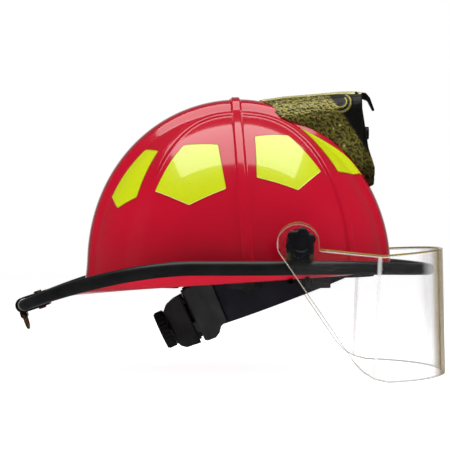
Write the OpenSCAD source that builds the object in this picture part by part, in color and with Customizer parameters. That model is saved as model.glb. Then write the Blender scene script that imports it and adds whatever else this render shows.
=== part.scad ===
// Firefighter helmet: ribbed composite shell with a rubber edge trim, a flip-up clear visor on
// two brackets, a cast front-piece holder, a rear hanging ring, and a ratchet suspension.
// +X is the front of the helmet, +Y the wearer's left and +Z up, in millimetres.
// The origin is the centre of the dome's base, where the head sits.

/* [Shell] */
// Centre to the front of the dome, between the ribs
dome_front = 138; // [132:1:142]
// Centre to the back of the dome, between the ribs
dome_rear = 140.5; // [136:0.5:146]
// Half the width of the dome
dome_half = 116; // [112:1:118]
// Height of the dome above its base, between the ribs
dome_height = 149.2; // [146:0.2:152]
// Thickness of the shell
shell_wall = 2.5; // [2:0.1:3]
// Half the width of the broad ridge from front to back
ridge_half = 36; // [32:1:40]
// How far the ridge stands above the dome at the crown
ridge_crown = 6.3; // [5:0.1:7]
// How far the ridge stands above the dome at its base
ridge_base = 3; // [2:0.5:4]
// Width of a narrow rib at its foot
rib_width = 10; // [8:1:12]
// How far a narrow rib stands above the dome
rib_height = 2.2; // [1.5:0.1:2.6]

/* [Brim] */
// Centre to the front edge of the brim
brim_front = 178; // [176:0.5:179]
// Centre to the back edge of the brim
brim_rear = 203.5; // [202:0.5:205]
// Half the width of the brim
brim_half = 144; // [142:0.5:144.5]
// How far the back edge of the brim droops
brim_droop = 40; // [38:1:42]
// Depth of the edge trim's slot over the brim
trim_grip = 8; // [7:0.5:9]
// Thickness of the edge trim
trim_thick = 10.5; // [10:0.5:11]

/* [Visor] */
// Distance of the visor's pivot ahead of the centre
pivot_x = 51.3; // [50:0.1:53]
// Height of the visor's pivot
pivot_z = 23.5; // [22:0.5:25]
// Distance of the ears' outer faces from the middle plane
ear_y = 153.8; // [153.5:0.1:155]
// Thickness of the visor sheet
visor_wall = 3.5; // [3:0.1:3.6]
// Radius of the round ears
ear_r = 18.5; // [17:0.5:19]
// Radius of the star knobs over their lobes
star_r = 13.6; // [13:0.2:15]

/* [Front-piece holder] */
// Wall of the casting
holder_wall = 2.4; // [2:0.2:4]
// Radius of the tapped hole for the front piece
front_hole_r = 1.65; // [1.5:0.05:2.1]

/* [Suspension] */
// Inner radius of the headband at the back and sides
band_r = 77; // [76:0.5:77.5]
// Inner half length of the headband at the front
band_front = 92; // [88:1:93]
// Tilt of the headband, front up
band_tilt = 25; // [24:0.5:26]
// Width of the crown webbing
strap_width = 19; // [15:1:22]
// Diameter of the ratchet knob
ratchet_d = 36.8; // [34:0.1:38]

/* [Hidden] */

$fn = 48;
tiny = 0.01;
skin_gap = 0.3;        // air between a curved face and the next piece

// Shell
PHI_STEP = 360 / 88;   // columns of the shell's skin, shared by the trim and the stickers
PHIS = [for (i = [0 : 87]) i * PHI_STEP];
PSIS = [for (i = [0 : 17]) 88.5 - i * 88.5 / 17];
plan_power = 2.1;
DOME = [dome_front, dome_rear, dome_half, dome_height];
RIDGE = [dome_front + ridge_base, dome_rear + ridge_base, dome_half + ridge_base,
         dome_height + ridge_crown];
ridge_soft = 10;       // width of the ridge's sloping sides
wall_flare = 0.12;     // outward lean of the wall below the dome
brim_level = 3.8;      // height of the brim's edge at the sides
gutter_mid = -11.3;    // height of the brim's root at the middle
gutter_slope = 0.072;  // rise of the brim's root towards the front
gutter_sink = 3;       // extra fall of the brim's root at the back
gutter_power = 1.8;    // how hollow the brim is between its root and its edge
rib_front_angle = 39;  // plan angle of the front diagonal ribs
rib_rear_angle = 43;   // plan angle of the rear diagonal ribs, from the back
rib_start = 45;        // distance of the diagonal ribs from the middle at the crown

// Front-piece holder, held by two screws at these heights on the ridge
holder_spots = [72, 58];

// Visor brackets
bracket_spots = [44, 58.6];
bracket_hole_y = 120;
bracket_wide = 24;
bracket_wall = 2;
foot_y = [114.5, 126.3]; // the foot lies between these distances from the middle plane
foot_top = -0.1;
over_z = 8.2;          // height of the arm that passes over the trim

// Trim
trim_nose = 4;         // how far the trim stands past the brim's edge
slot_gap = 0.35;

// Visor
ear_in = ear_y - visor_wall;
bolt_r = 3;
visor_top = 50;        // the sheet is cut from between these two heights
visor_low = -110;
crease_top = 121;      // where the flat side turns into the round front, at the top
crease_low = 114;
crease_angle = 7;
nose_top = 189;        // furthest front of the sheet at its top edge
nose_low = 192;
knob_in = ear_y + 1.1;
knob_deep = 12;

// Rear ring: the clip lies along the edge of the drooping brim
clip_slope = asin(-edge_out(180)[2]);
clip_half = 12;
clip_wall = 1.5;
clip_in = trim_thick / 2 + 0.35;
ring_wire = 1.5;
ring_drop = 9.2;       // from the clip's mid plane to the ring's bar
ring_out = 2.5;        // from the brim's edge out to the ring's bar
ring_lean = 18;        // how far forward of straight down the ring hangs
rivet_spots = [-7, 7];
rivet_in = 16;

// Suspension: the band's frame is tilted about its centre
BAND_C = [20.5, 0, -14.9];
band_wall = 2;
band_top = 9;
band_rear_top = 25;    // the band is taller behind the temples
wing_r = band_r + band_wall + skin_gap;
wing_wall = 2;
pod_z = -3;            // height of the ratchet's axis in the band's frame
pod_half = 23.5;       // half the angle that the ratchet housing spans
pod_screw_r = 1.1;
channel_half = 14.3;   // half the height of the racks' channel
pinion_r = 5;
pinion_teeth = 10;
shaft_r = 2.95;
knob_x = 96.6;         // distance of the knob's inner face behind the band's centre
knob_bore = 5;
rack_r = wing_r + wing_wall / 2;
rack_pitch = 360 / pinion_teeth * pinion_r / rack_r;
tooth_half = 1;
CAP = [126, 123, 97, 134];
cap_wall = 2.5;
strap_thick = 1.5;
link_thick = 1.4;
cap_rim = -10;
foam_rim = -4;
KEY_ANGLES = [48, 90, 132, -48, -90, -132];
key_half = 12.5;
key_out = -1.3;        // the key's faces, measured outward from the cap's inner wall
key_in = -7.8;
key_low = -19;
key_top = 5;

function mix(a, b, t) = a + (b - a) * t;
function ease(t) = let (c = min(max(t, 0), 1)) c * c * (3 - 2 * c);
function unit(v) = v / norm(v);
function grown(dome, by) = [for (size = dome) size + by];
function plan_r(phi, dome) =
    let (reach = cos(phi) > 0 ? dome[0] : dome[1])
    pow(pow(abs(cos(phi)) / reach, plan_power) + pow(abs(sin(phi)) / dome[2], plan_power),
        -1 / plan_power);
function profile_n(phi) = 2.15 - (cos(phi) > 0 ? 0.25 : 0.1) * pow(cos(phi), 2);
function dome_pt(phi, psi, dome) =
    let (k = 2 / profile_n(phi), r = plan_r(phi, dome) * pow(cos(psi), k))
    [r * cos(phi), r * sin(phi), dome[3] * pow(sin(psi), k)];
function ridge_mask(y) = ease((ridge_half + ridge_soft / 2 - abs(y)) / ridge_soft);
function skin_pt(phi, psi, by = 0) =
    let (low = dome_pt(phi, psi, grown(DOME, by)), high = dome_pt(phi, psi, grown(RIDGE, by)))
    mix(low, high, ridge_mask(low[1]));
function skin_normal(phi, psi) =
    let (p = skin_pt(phi, psi))
    unit(cross(skin_pt(phi + 0.5, psi) - p, skin_pt(phi, psi + 0.5) - p));

// Brim: a point at share s of the way from the wall's foot to the edge
function edge_z(x) =
    brim_level
    - (x < -40 ? brim_droop * pow((-x - 40) / (brim_rear - 40), gutter_power)
       : x > 60 ? 6 * pow((x - 60) / (brim_front - 60), 2) : 0);
function brim_pt(phi, s) =
    let (foot = skin_pt(phi, 0), back = min(foot[0], 0) / dome_rear,
         root_z = gutter_mid + gutter_slope * foot[0] - gutter_sink * pow(back, 4),
         root_r = norm(foot) - wall_flare * root_z,
         edge_r = plan_r(phi, [brim_front, brim_rear, brim_half]),
         top_z = edge_z(edge_r * cos(phi)), r = mix(root_r, edge_r, s))
    [r * cos(phi), r * sin(phi), root_z + (top_z - root_z) * pow(s, gutter_power)];
function grip_s(phi) = 1 - trim_grip / norm(brim_pt(phi, 1) - brim_pt(phi, 0));
function edge_out(phi) = unit(brim_pt(phi, 1) - brim_pt(phi, grip_s(phi)));
function edge_up(phi) =
    let (out = edge_out(phi), run = out[0] * cos(phi) + out[1] * sin(phi))
    [-out[2] * cos(phi), -out[2] * sin(phi), run];

// Rounded ring or strip through a list of closed loops of points
module loft(loops, ring = false) {
    n = len(loops[0]);
    m = len(loops);
    last = ring ? m - 1 : m - 2;
    polyhedron(
        [for (loop = loops) each loop],
        [for (i = [0 : last]) for (j = [0 : n - 1])
            let (a = i * n + j, b = i * n + (j + 1) % n,
                 c = ((i + 1) % m) * n + j, d = ((i + 1) % m) * n + (j + 1) % n)
            each [[a, d, b], [a, c, d]],
         if (!ring) [for (j = [0 : n - 1]) j],
         if (!ring) [for (j = [n - 1 : -1 : 0]) (m - 1) * n + j]]);
}

// Closed skin through rows of points, each row a full turn, between a first and a last point
module capped_skin(first, rows, final) {
    n = len(rows[0]);
    m = len(rows);
    polyhedron(
        [first, for (row = rows) each row, final],
        [for (j = [0 : n - 1]) [0, 1 + (j + 1) % n, 1 + j],
         for (i = [0 : m - 2]) for (j = [0 : n - 1])
            let (a = 1 + i * n + j, b = 1 + i * n + (j + 1) % n)
            each [[a, b, b + n], [a, b + n, a + n]],
         for (j = [0 : n - 1]) [1 + (m - 1) * n + j, 1 + (m - 1) * n + (j + 1) % n, m * n + 1]]);
}

function dome_rows(by) = [for (psi = PSIS) [for (phi = PHIS) skin_pt(phi, psi, by)]];
function reversed(list) = [for (i = [len(list) - 1 : -1 : 0]) list[i]];

// Everything inside the dome's outer face grown by the given amount
module dome_body(by, floor_z) {
    rows = dome_rows(by);
    foot = [for (phi = PHIS) let (p = skin_pt(phi, 0, by)) [p[0], p[1], floor_z]];
    capped_skin(skin_pt(0, 90, by), concat(rows, [foot]), [0, 0, floor_z]);
}

// Plain dome-shaped layer between two domes, down to one height
module plain_cap(outer, inner, rim_z) {
    function rows(d) = [for (psi = [81 : -9 : 0]) [for (phi = [0 : 9 : 351]) dome_pt(phi, psi, d)]];
    function foot(d) = [for (p = rows(d)[9]) [p[0], p[1], rim_z]];
    capped_skin([0, 0, outer[3]],
                concat(rows(outer), [foot(outer)], [foot(inner)], reversed(rows(inner))),
                [0, 0, inner[3]]);
}

// Narrow rib over a list of points with their outward normals
module rib(points, normals) {
    m = len(points);
    loft([for (i = [0 : m - 1])
        let (along = unit(points[min(i + 1, m - 1)] - points[max(i - 1, 0)]),
             side = unit(cross(normals[i], along)), p = points[i], n = normals[i])
        [p - side * rib_width / 2 - n * 1.2, p + side * rib_width / 2 - n * 1.2,
         p + side * rib_width / 3.4 + n * rib_height, p - side * rib_width / 3.4 + n * rib_height]]);
}
function foot_spot(phi) = [brim_pt(phi, 0), [cos(phi), sin(phi), 0]];
function rib_spots(angles) = [for (a = angles) [skin_pt(a[0], a[1]), skin_normal(a[0], a[1])]];
module rib_over(spots) {
    rib([for (s = spots) s[0]], [for (s = spots) s[1]]);
}
module cross_rib() {
    // leans back a little on its way up
    function lean(psi) =
        let (p = skin_pt(90, psi)) acos(max(-1, (7.2 - 0.075 * p[2]) / norm([p[0], p[1]])));
    steps = [2, 10, 18, 26, 34, 42, 50, 58, 66, 72.5, 79, 85];
    half = rib_spots([for (psi = steps) [lean(psi), psi]]);
    back = rib_spots([for (psi = reversed(steps)) [-lean(psi), psi]]);
    crown = rib_spots([[176, 87.8]]);
    foot = lean(0);
    rib_over(concat([foot_spot(foot)], half, crown, back, [foot_spot(-foot)]));
}

// The diagonal ribs run beside the ridge at the crown and then down a line of constant angle
function rib_phi(x, angle) =
    atan2(pow(pow(abs(x) * tan(angle), 4) + pow(rib_start, 4), 1 / 4), x);
function psi_at(phi, r) =
    acos(min(1, pow(r / plan_r(phi, DOME), profile_n(phi) / 2)));
module diagonal_rib(ahead, angle, side, low_psi) {
    end_phi = ahead > 0 ? angle : 180 - angle;
    far = dome_pt(end_phi, low_psi, DOME)[0];
    xs = [for (i = [0 : 12]) mix(4 * ahead, far, sin(i * 90 / 12))];
    spots = rib_spots([for (x = xs)
        let (phi = rib_phi(x, angle)) [side * phi, psi_at(phi, x / cos(phi))]]);
    rib_over(ahead > 0 ? concat(spots, [foot_spot(side * end_phi)]) : spots);
}

// Place things square to the shell on its middle plane, at psi degrees up from the base
module on_ridge(psi) {
    n = skin_normal(0, psi);
    translate(skin_pt(0, psi)) rotate([0, atan2(n[0], n[2]), 0]) children();
}

// Places along the back edge of the brim: +X outward along the brim, +Z square to it
module at_back_edge() {
    translate([-brim_rear, 0, brim_level - brim_droop]) rotate([0, -clip_slope, 0]) mirror([1, 0, 0])
        children();
}

module mirrored() {
    children();
    mirror([0, 1, 0]) children();
}

module outer_shell() {
    under = function(phi, s) brim_pt(phi, s) - edge_up(phi) * shell_wall;
    shares = [0, 0.3, 0.6];
    top = concat(dome_rows(0),
                 [for (s = shares) [for (phi = PHIS) brim_pt(phi, s)]],
                 [[for (phi = PHIS) brim_pt(phi, grip_s(phi))]],
                 [[for (phi = PHIS) brim_pt(phi, 1)]]);
    below = concat([[for (phi = PHIS) under(phi, 1)]],
                   [[for (phi = PHIS) under(phi, grip_s(phi))]],
                   [for (s = [0.6, 0.3]) [for (phi = PHIS) brim_pt(phi, s) - [0, 0, shell_wall]]],
                   [[for (phi = PHIS)
                       let (p = brim_pt(phi, 0)) p - shell_wall * [cos(phi), sin(phi), 1]]],
                   reversed(dome_rows(-shell_wall)));
    color("crimson") difference() {
        union() {
            capped_skin(skin_pt(0, 90), concat(top, below), skin_pt(0, 90, -shell_wall));
            cross_rib();
            for (side = [1, -1]) {
                diagonal_rib(1, rib_front_angle, side, 4);
                diagonal_rib(-1, rib_rear_angle, side, 27);
            }
        }
        for (psi = holder_spots)
            on_ridge(psi) cylinder(r = 2.1, h = 30, center = true);
        mirrored() for (x = bracket_spots)
            translate([x, -bracket_hole_y, -20]) cylinder(r = 2.1, h = 30);
        at_back_edge() for (y = rivet_spots)
            translate([-rivet_in, y, -10]) cylinder(r = 1.6, h = 20);
    }
}

module edge_trim() {
    mid = -shell_wall / 2;
    round_steps = [-75 : 30 : 75];
    half = trim_thick / 2;
    loop = concat(
        [for (a = round_steps) [trim_nose - half + half * cos(a), mid + half * sin(a)]],
        [[-trim_grip + 1, mid + half], [-trim_grip, mid + half - 1], [-trim_grip, slot_gap],
         [slot_gap, slot_gap], [slot_gap, -shell_wall - slot_gap],
         [-trim_grip, -shell_wall - slot_gap], [-trim_grip, mid - half + 1],
         [-trim_grip + 1, mid - half]]);
    color("#202324") loft([for (phi = PHIS)
        let (edge = brim_pt(phi, 1), out = edge_out(phi), up = edge_up(phi))
        [for (q = reversed(loop)) edge + out * q[0] + up * q[1]]], ring = true);
}

// Corners of the stickers on one side, as plan angle and height angle
STICKERS = [
    [[153, 45], [141, 44], [141, 32], [141, 24], [151, 20], [159, 24.5], [157, 34]],
    [[126, 46.5], [104, 46.5], [100, 36], [97, 26.5], [114, 20.5], [132, 26], [129, 39]],
    [[80.5, 51], [55.5, 52.5], [49.5, 42.5], [46, 35], [62, 26.5], [82, 31]],
    [[37, 58.5], [17, 39], [13.5, 33.5], [34, 35.5], [35.5, 47]]
];
module sticker_beam(corners, side) {
    far = [for (c = corners) skin_pt(side * c[0], c[1]) * 1.3];
    n = len(far);
    share = [for (p = far) 1 / n];
    hub = share * far;
    faces = [for (i = [0 : n - 1]) let (j = (i + 1) % n)
        each side > 0 ? [[n, i, j], [n + 1, j, i]] : [[n, j, i], [n + 1, i, j]]];
    polyhedron(concat(far, [[0, 0, 0], hub]), faces);
}
module reflective_stickers() {
    color("#d8f000") intersection() {
        difference() {
            dome_body(0.6, 0);
            dome_body(0.35, -1);
        }
        for (corners = STICKERS, side = [1, -1])
            sticker_beam(corners, side);
    }
}

// Front-piece holder: a cast saddle on the ridge, narrowing towards the front
// [x, half width at the shell, height of the top]
HOLDER = [[15, 32, 154], [24, 41, 155.5], [41, 41, 158], [60, 37, 159.5], [78, 34, 161],
          [92, 29, 162.4], [104, 24, 162.6], [114, 19, 162.4]];
holder_foot = [[108, 162.4], [112.8, 158], [120.3, 110], [126, 91], [125, 75.7], [119, 72],
               [100, 85], [95, 120]];
holder_pockets = [[[110, 114], [116.7, 110], [121.6, 92], [121, 81], [95, 92], [95, 114]],
                  [[95, 133], [113.4, 133], [110.4, 152], [95, 150]]];
module holder_form(shrink) {
    low = 60;
    back = HOLDER[0][0] + shrink;
    front = HOLDER[len(HOLDER) - 1][0] - 2 * shrink;
    loft([for (h = HOLDER)
        let (share = (h[0] - HOLDER[0][0]) / (HOLDER[len(HOLDER) - 1][0] - HOLDER[0][0]),
             x = mix(back, front, share), w = h[1] - shrink, top = h[2] - shrink)
        concat([for (a = [0 : 15 : 180])
                   [x, w * sign(cos(a)) * pow(abs(cos(a)), 0.9),
                    mix(top - w * 0.55 - 4, top, pow(sin(a), 1.1))]],
               [[x, -w, low], [x, w, low]])]);
}
module side_plate(wide, outline) {
    rotate([90, 0, 0]) linear_extrude(wide, center = true) polygon(outline);
}
module front_piece_holder() {
    foot_wide = 22;
    hook_wide = 9;
    boss_z = 124;
    hook = [[110, 162.4], [118, 161.8], [122, 157], [126.4, 144.8], [124.2, 144.6],
            [119.5, 154], [110, 158]];
    color("#6b5f2a") difference() {
        union() {
            difference() {
                holder_form(0);
                holder_form(holder_wall);
            }
            difference() {
                side_plate(foot_wide, holder_foot);
                for (pocket = holder_pockets)
                    side_plate(foot_wide - 6, pocket);
            }
            side_plate(hook_wide, hook);
            translate([100, 0, boss_z]) rotate([0, 90, 0]) cylinder(r = 6, h = 21);
            intersection() {
                holder_form(0);
                for (psi = holder_spots)
                    on_ridge(psi) cylinder(r = 5, h = 45);
            }
        }
        dome_body(skin_gap, 50);
        cross_rib();
        for (side = [1, -1])
            diagonal_rib(1, rib_front_angle, side, 4);
        translate([104, 0, boss_z]) rotate([0, 90, 0]) cylinder(r = front_hole_r, h = 40);
        for (psi = holder_spots)
            on_ridge(psi) translate([0, 0, -5]) cylinder(r = 2, h = 12);
    }
}
module holder_screws() {
    color("silver") for (psi = holder_spots)
        on_ridge(psi) {
            translate([0, 0, -4.9]) cylinder(r = 2, h = 11.6);
            translate([0, 0, -4.9]) cylinder(r = 4.2, h = 1.6);
        }
}

module ring_clip() {
    inner = clip_in;
    mid = -shell_wall / 2;
    long = 24;
    color("#b09a4e") difference() {
        at_back_edge() translate([0, 0, mid]) {
            difference() {
                union() {
                    translate([-long, -clip_half, -inner - clip_wall])
                        cube([long, 2 * clip_half, 2 * (inner + clip_wall)]);
                    rotate([90, 0, 0])
                        cylinder(r = inner + clip_wall, h = 2 * clip_half, center = true);
                    translate([ring_out, 0, -ring_drop]) rotate([90, 0, 0])
                        cylinder(r = 3.2, h = 15, center = true);
                    translate([ring_out - 3.2, -7.5, -ring_drop])
                        cube([6.4, 15, ring_drop - inner]);
                }
                translate([-long - tiny, -clip_half - 1, -inner])
                    cube([long + tiny, 2 * clip_half + 2, 2 * inner]);
                rotate([90, 0, 0])
                    cylinder(r = inner, h = 2 * clip_half + 2, center = true);
                translate([ring_out, 0, -ring_drop]) rotate([90, 0, 0])
                    cylinder(r = ring_wire + 0.06, h = 20, center = true);
            }
        }
        at_back_edge() for (y = rivet_spots)
            translate([-rivet_in, y, -12]) cylinder(r = 1.6, h = 24);
    }
}
module ring_clip_rivets() {
    head = 1.4;
    high = clip_in + clip_wall + 0.05 - shell_wall / 2;
    low = -clip_in - clip_wall - 0.05 - shell_wall / 2;
    color("#c8b25e") at_back_edge() for (y = rivet_spots)
        translate([-rivet_in, y, 0]) {
            translate([0, 0, low - head]) cylinder(r = 1.55, h = high - low + 2 * head);
            translate([0, 0, high]) cylinder(r = 3, h = head);
            translate([0, 0, low - head]) cylinder(r = 3, h = head);
        }
}
module hanging_ring() {
    span = 9.5;
    drop = 3;
    color("#b09a4e") at_back_edge() translate([ring_out, 0, -shell_wall / 2 - ring_drop])
        rotate([0, ring_lean - clip_slope, 0]) {
            rotate([90, 0, 0]) cylinder(r = ring_wire, h = 2 * span, center = true);
            for (y = [-span, span]) {
                translate([0, y, -drop]) cylinder(r = ring_wire, h = drop);
                translate([0, y, 0]) sphere(r = ring_wire, $fn = 24);
            }
            translate([0, 0, -drop]) rotate([90, 0, 90]) rotate([0, 0, 180])
                rotate_extrude(angle = 180, $fn = 64)
                    translate([span, 0]) circle(r = ring_wire, $fn = 24);
        }
}

// Height of the brim's upper face at one place
function brim_z(x, y) =
    let (phi = atan2(y, x), root = brim_pt(phi, 0), edge = brim_pt(phi, 1),
         root_r = norm([root[0], root[1]]), edge_r = norm([edge[0], edge[1]]))
    brim_pt(phi, (norm([x, y]) - root_r) / (edge_r - root_r))[2];

// Wedge foot on the brim, riser inside the trim, arm over the trim and upright for the pivot
module visor_bracket() {
    x0 = pivot_x - bracket_wide / 2;
    out_y = ear_in - 1.2;
    foot_gap = 0.6;
    corners = [[x0, -foot_y[0]], [x0 + bracket_wide, -foot_y[0]],
               [x0 + bracket_wide, -foot_y[1]], [x0, -foot_y[1]]];
    color("#b09a4e") difference() {
        union() {
            hull() for (c = corners)
                translate([c[0], c[1], brim_z(c[0], c[1]) + foot_gap]) {
                    linear_extrude(foot_top - brim_z(c[0], c[1]) - foot_gap)
                        square(tiny, center = true);
                }
            rotate([90, 0, 90]) translate([0, 0, x0]) linear_extrude(bracket_wide)
                polygon([[-foot_y[1], foot_top - 1], [-foot_y[1], over_z],
                         [-out_y, over_z], [-out_y, pivot_z], [-out_y + bracket_wall, pivot_z],
                         [-out_y + bracket_wall, over_z + bracket_wall],
                         [-foot_y[1] + bracket_wall, over_z + bracket_wall],
                         [-foot_y[1] + bracket_wall, foot_top - 1]]);
            translate([pivot_x, bracket_wall - out_y, pivot_z]) rotate([90, 0, 0])
                cylinder(r = bracket_wide / 2, h = bracket_wall);
        }
        translate([pivot_x, 0, pivot_z]) rotate([90, 0, 0])
            cylinder(r = bolt_r + 0.05, h = 200);
        for (x = bracket_spots)
            translate([x, -bracket_hole_y, -10]) cylinder(r = 2.1, h = 20);
    }
}
module visor_bracket_left() { mirror([0, 1, 0]) visor_bracket(); }
module visor_bracket_right() { visor_bracket(); }
module bracket_screws() {
    nut_deep = 1.6;
    color("#c0b070") mirrored() for (x = bracket_spots) {
        nut_z = brim_z(x, -bracket_hole_y) - shell_wall - 1.2 - nut_deep;
        translate([x, -bracket_hole_y, 0]) {
            translate([0, 0, nut_z - 1]) cylinder(r = 2, h = foot_top - nut_z + 1);
            translate([0, 0, foot_top]) cylinder(r = 3.6, h = 1.8);
            translate([0, 0, nut_z]) cylinder(r = 3.6, h = nut_deep, $fn = 6);
        }
    }
}
module pivot_bolts() {
    color("silver") mirrored()
        translate([pivot_x, -(ear_in - 1.2), pivot_z]) rotate([90, 0, 0]) {
            translate([0, 0, -5]) cylinder(r = 6, h = 3);
            translate([0, 0, -2]) cylinder(r = bolt_r, h = 16);
        }
}
module friction_washers() {
    color("#333333") mirrored() for (y = [ear_in - 1.1, ear_y + 0.1])
        translate([pivot_x, -y, pivot_z]) rotate([90, 0, 0]) difference() {
            cylinder(r = 8, h = 0.9);
            translate([0, 0, -1]) cylinder(r = bolt_r + 0.05, h = 3);
        }
}

// Plan of the visor's outer face, pushed in by the given amount, at one height
function visor_plan(z, inward) =
    let (t = (z - visor_low) / (15 - visor_low),
         crease = mix(crease_low, crease_top, t), centre = crease - 10,
         nose = mix(nose_low, nose_top, t) - centre, wide = ear_y / cos(crease_angle))
    concat([[30, -(ear_y - inward), z]],
           [for (a = [crease_angle : (180 - 2 * crease_angle) / 40 : 180 - crease_angle + tiny])
               [centre + (nose - inward) * sin(a), -(wide - inward) * cos(a), z]],
           [[30, ear_y - inward, z]]);
module visor_outline() {
    ear = [for (a = [205 : -5 : -15])
        [pivot_x - 2 + ear_r * cos(a), pivot_z - 1 + ear_r * sin(a)]];
    polygon(concat(ear, [[crease_top, 12], [nose_low + 8, 17.2], [nose_low + 8, -98.5],
                         [130, -98.5], [118, -95.5], [107.5, -89], [99, -80], [61.7, -27]]));
}
module visor() {
    low_out = visor_plan(visor_low, 0);
    low_in = visor_plan(visor_low, visor_wall);
    top_out = visor_plan(visor_top, 0);
    top_in = visor_plan(visor_top, visor_wall);
    color("#f4f6f0", 0.35) difference() {
        intersection() {
            loft([for (i = [0 : len(low_out) - 1]) [low_out[i], low_in[i], top_in[i], top_out[i]]]);
            rotate([90, 0, 0]) linear_extrude(400, center = true) visor_outline();
        }
        translate([pivot_x, 0, pivot_z]) rotate([90, 0, 0])
            cylinder(r = bolt_r + 0.06, h = 400, center = true);
    }
}

module star_knob() {
    color("#1c1c1e") translate([pivot_x, -knob_in, pivot_z]) rotate([90, 0, 0]) {
        difference() {
            cylinder(r = star_r, h = knob_deep);
            for (a = [50 : 60 : 350])
                rotate([0, 0, a]) translate([star_r + 2.6, 0, -1]) cylinder(r = 5, h = knob_deep + 2);
            translate([0, 0, -1]) cylinder(r = 5, h = knob_deep - 1);
            translate([0, 0, knob_deep - 1.5]) cylinder(r = 8.5, h = 3);
        }
    }
}
module star_knob_left() { mirror([0, 1, 0]) star_knob(); }
module star_knob_right() { star_knob(); }
module knob_insert() {
    color("#c0b070") translate([pivot_x, -knob_in, pivot_z]) rotate([90, 0, 0])
        difference() {
            cylinder(r = 5, h = knob_deep - 2);
            translate([0, 0, -1]) cylinder(r = bolt_r + 0.05, h = knob_deep);
        }
}
module knob_insert_left() { mirror([0, 1, 0]) knob_insert(); }
module knob_insert_right() { knob_insert(); }

module impact_cap() {
    color("#26282b") plain_cap(CAP, grown(CAP, -cap_wall), cap_rim);
}
module foam_liner() {
    color("#8a8a80") plain_cap(grown(DOME, -shell_wall - 3), grown(CAP, 0.4), foam_rim);
}

// Direction square to the cap's wall at plan angle phi
function cap_out(phi) =
    let (dome = grown(CAP, -cap_wall),
         ends = [for (a = [phi - 2, phi + 2]) plan_r(a, dome) * [cos(a), sin(a)]],
         run = ends[1] - ends[0])
    atan2(-run[0], run[1]);

// One length of webbing over the crown, from key to key; its feet turn to lie along the wall
module crown_strap(angle, crown_z) {
    start = 2;
    foot_z = -6;
    function arch(t, sink) =
        let (reach = plan_r(angle, grown(CAP, -cap_wall - 4)),
             back = plan_r(angle + 180, grown(CAP, -cap_wall - 4)),
             r = (cos(t) > 0 ? reach : back) * pow(abs(cos(t)), 0.62) * sign(cos(t)))
        [r - sink * cos(t), 0, foot_z + (crown_z - foot_z) * pow(sin(t), 1.2) - sink * sin(t)];
    function across(t) =
        let (side = t < 90 ? angle : angle - 180, turn = (cap_out(side) - side) * (1 - sin(t)))
        strap_width / 2 * [-sin(turn), cos(turn), 0];
    color("#2b2d33") rotate([0, 0, angle])
        loft([for (t = [start : (180 - 2 * start) / 26 : 180 - start + tiny])
            let (out = arch(t, 0), in = arch(t, strap_thick), half = across(t))
            [out - half, out + half, in + half, in - half]]);
}
module crown_strap_cross() { crown_strap(90, 110); }
module crown_strap_left_front() { crown_strap(48, 112); }
module crown_strap_right_front() { crown_strap(132, 114); }
module crown_pad() {
    color("#3a3c42") translate([0, 0, 100.1]) cylinder(r = 30, h = 6);
}

// Puts its children at a key: their +X points out of the cap's inner wall
module at_key(phi) {
    reach = plan_r(phi, grown(CAP, -cap_wall));
    translate([reach * cos(phi), reach * sin(phi), 0]) rotate([0, 0, cap_out(phi)]) children();
}
// Each key holds a strap's end in its pocket and hooks under the cap's rim
module strap_keys() {
    color("#1d1d1f") for (phi = KEY_ANGLES) at_key(phi) {
        difference() {
            translate([key_in, -key_half, key_low])
                cube([key_out - key_in, 2 * key_half, key_top - key_low]);
            translate([-6.7, -strap_width / 2 - 1.5, -4.2])
                cube([3.1, strap_width + 3, 20]);
        }
        translate([key_out - tiny, -8, key_low + 4])
            cube([cap_wall + 1.4, 16, cap_rim - 0.4 - key_low - 4]);
    }
}
// Links from the front and side keys to the headband's outer face
module band_hangers() {
    // plan angles of the key and of the band's pad, and the two pads' heights
    ends = [[48, 57, -9, -13], [90, 97, -18.5, 2]];
    color("#1d1d1f") mirrored() for (e = ends) {
        hull() {
            at_key(-e[0]) translate([key_in - link_thick - 0.05, -6, e[2]])
                cube([link_thick, 12, 7]);
            band_frame() translate(band_plan(-e[1], band_wall + 0.05))
                rotate([0, 0, band_out(-e[1])]) translate([0, -6, e[3] - 3.5])
                    cube([link_thick, 12, 7]);
        }
    }
}

module band_frame() {
    translate(BAND_C) rotate([0, -band_tilt, 0]) children();
}
function band_plan(angle, out) =
    let (a = cos(angle) > 0 ? band_front + out : band_r + out, b = band_r + out)
    [a * cos(angle), b * sin(angle)];
// Direction square to the band's outer face
function band_out(angle) =
    let (a = (cos(angle) > 0 ? band_front : band_r) + band_wall, b = band_r + band_wall)
    atan2(sin(angle) / b, cos(angle) / a);
module band_outline(out) {
    circle(r = band_r + out, $fn = 120);
    polygon([for (a = [-90 : 4 : 90.1]) band_plan(a, out)]);
}
module sector(half_angle, reach = 140) {
    polygon([[0, 0], for (k = [-1, -0.5, 0.5, 1])
        [-reach * cos(k * half_angle), -reach * sin(k * half_angle)]]);
}
module band_ring(inner, outer, low, high) {
    translate([0, 0, low]) linear_extrude(high - low) difference() {
        band_outline(outer);
        band_outline(inner);
    }
}
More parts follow.
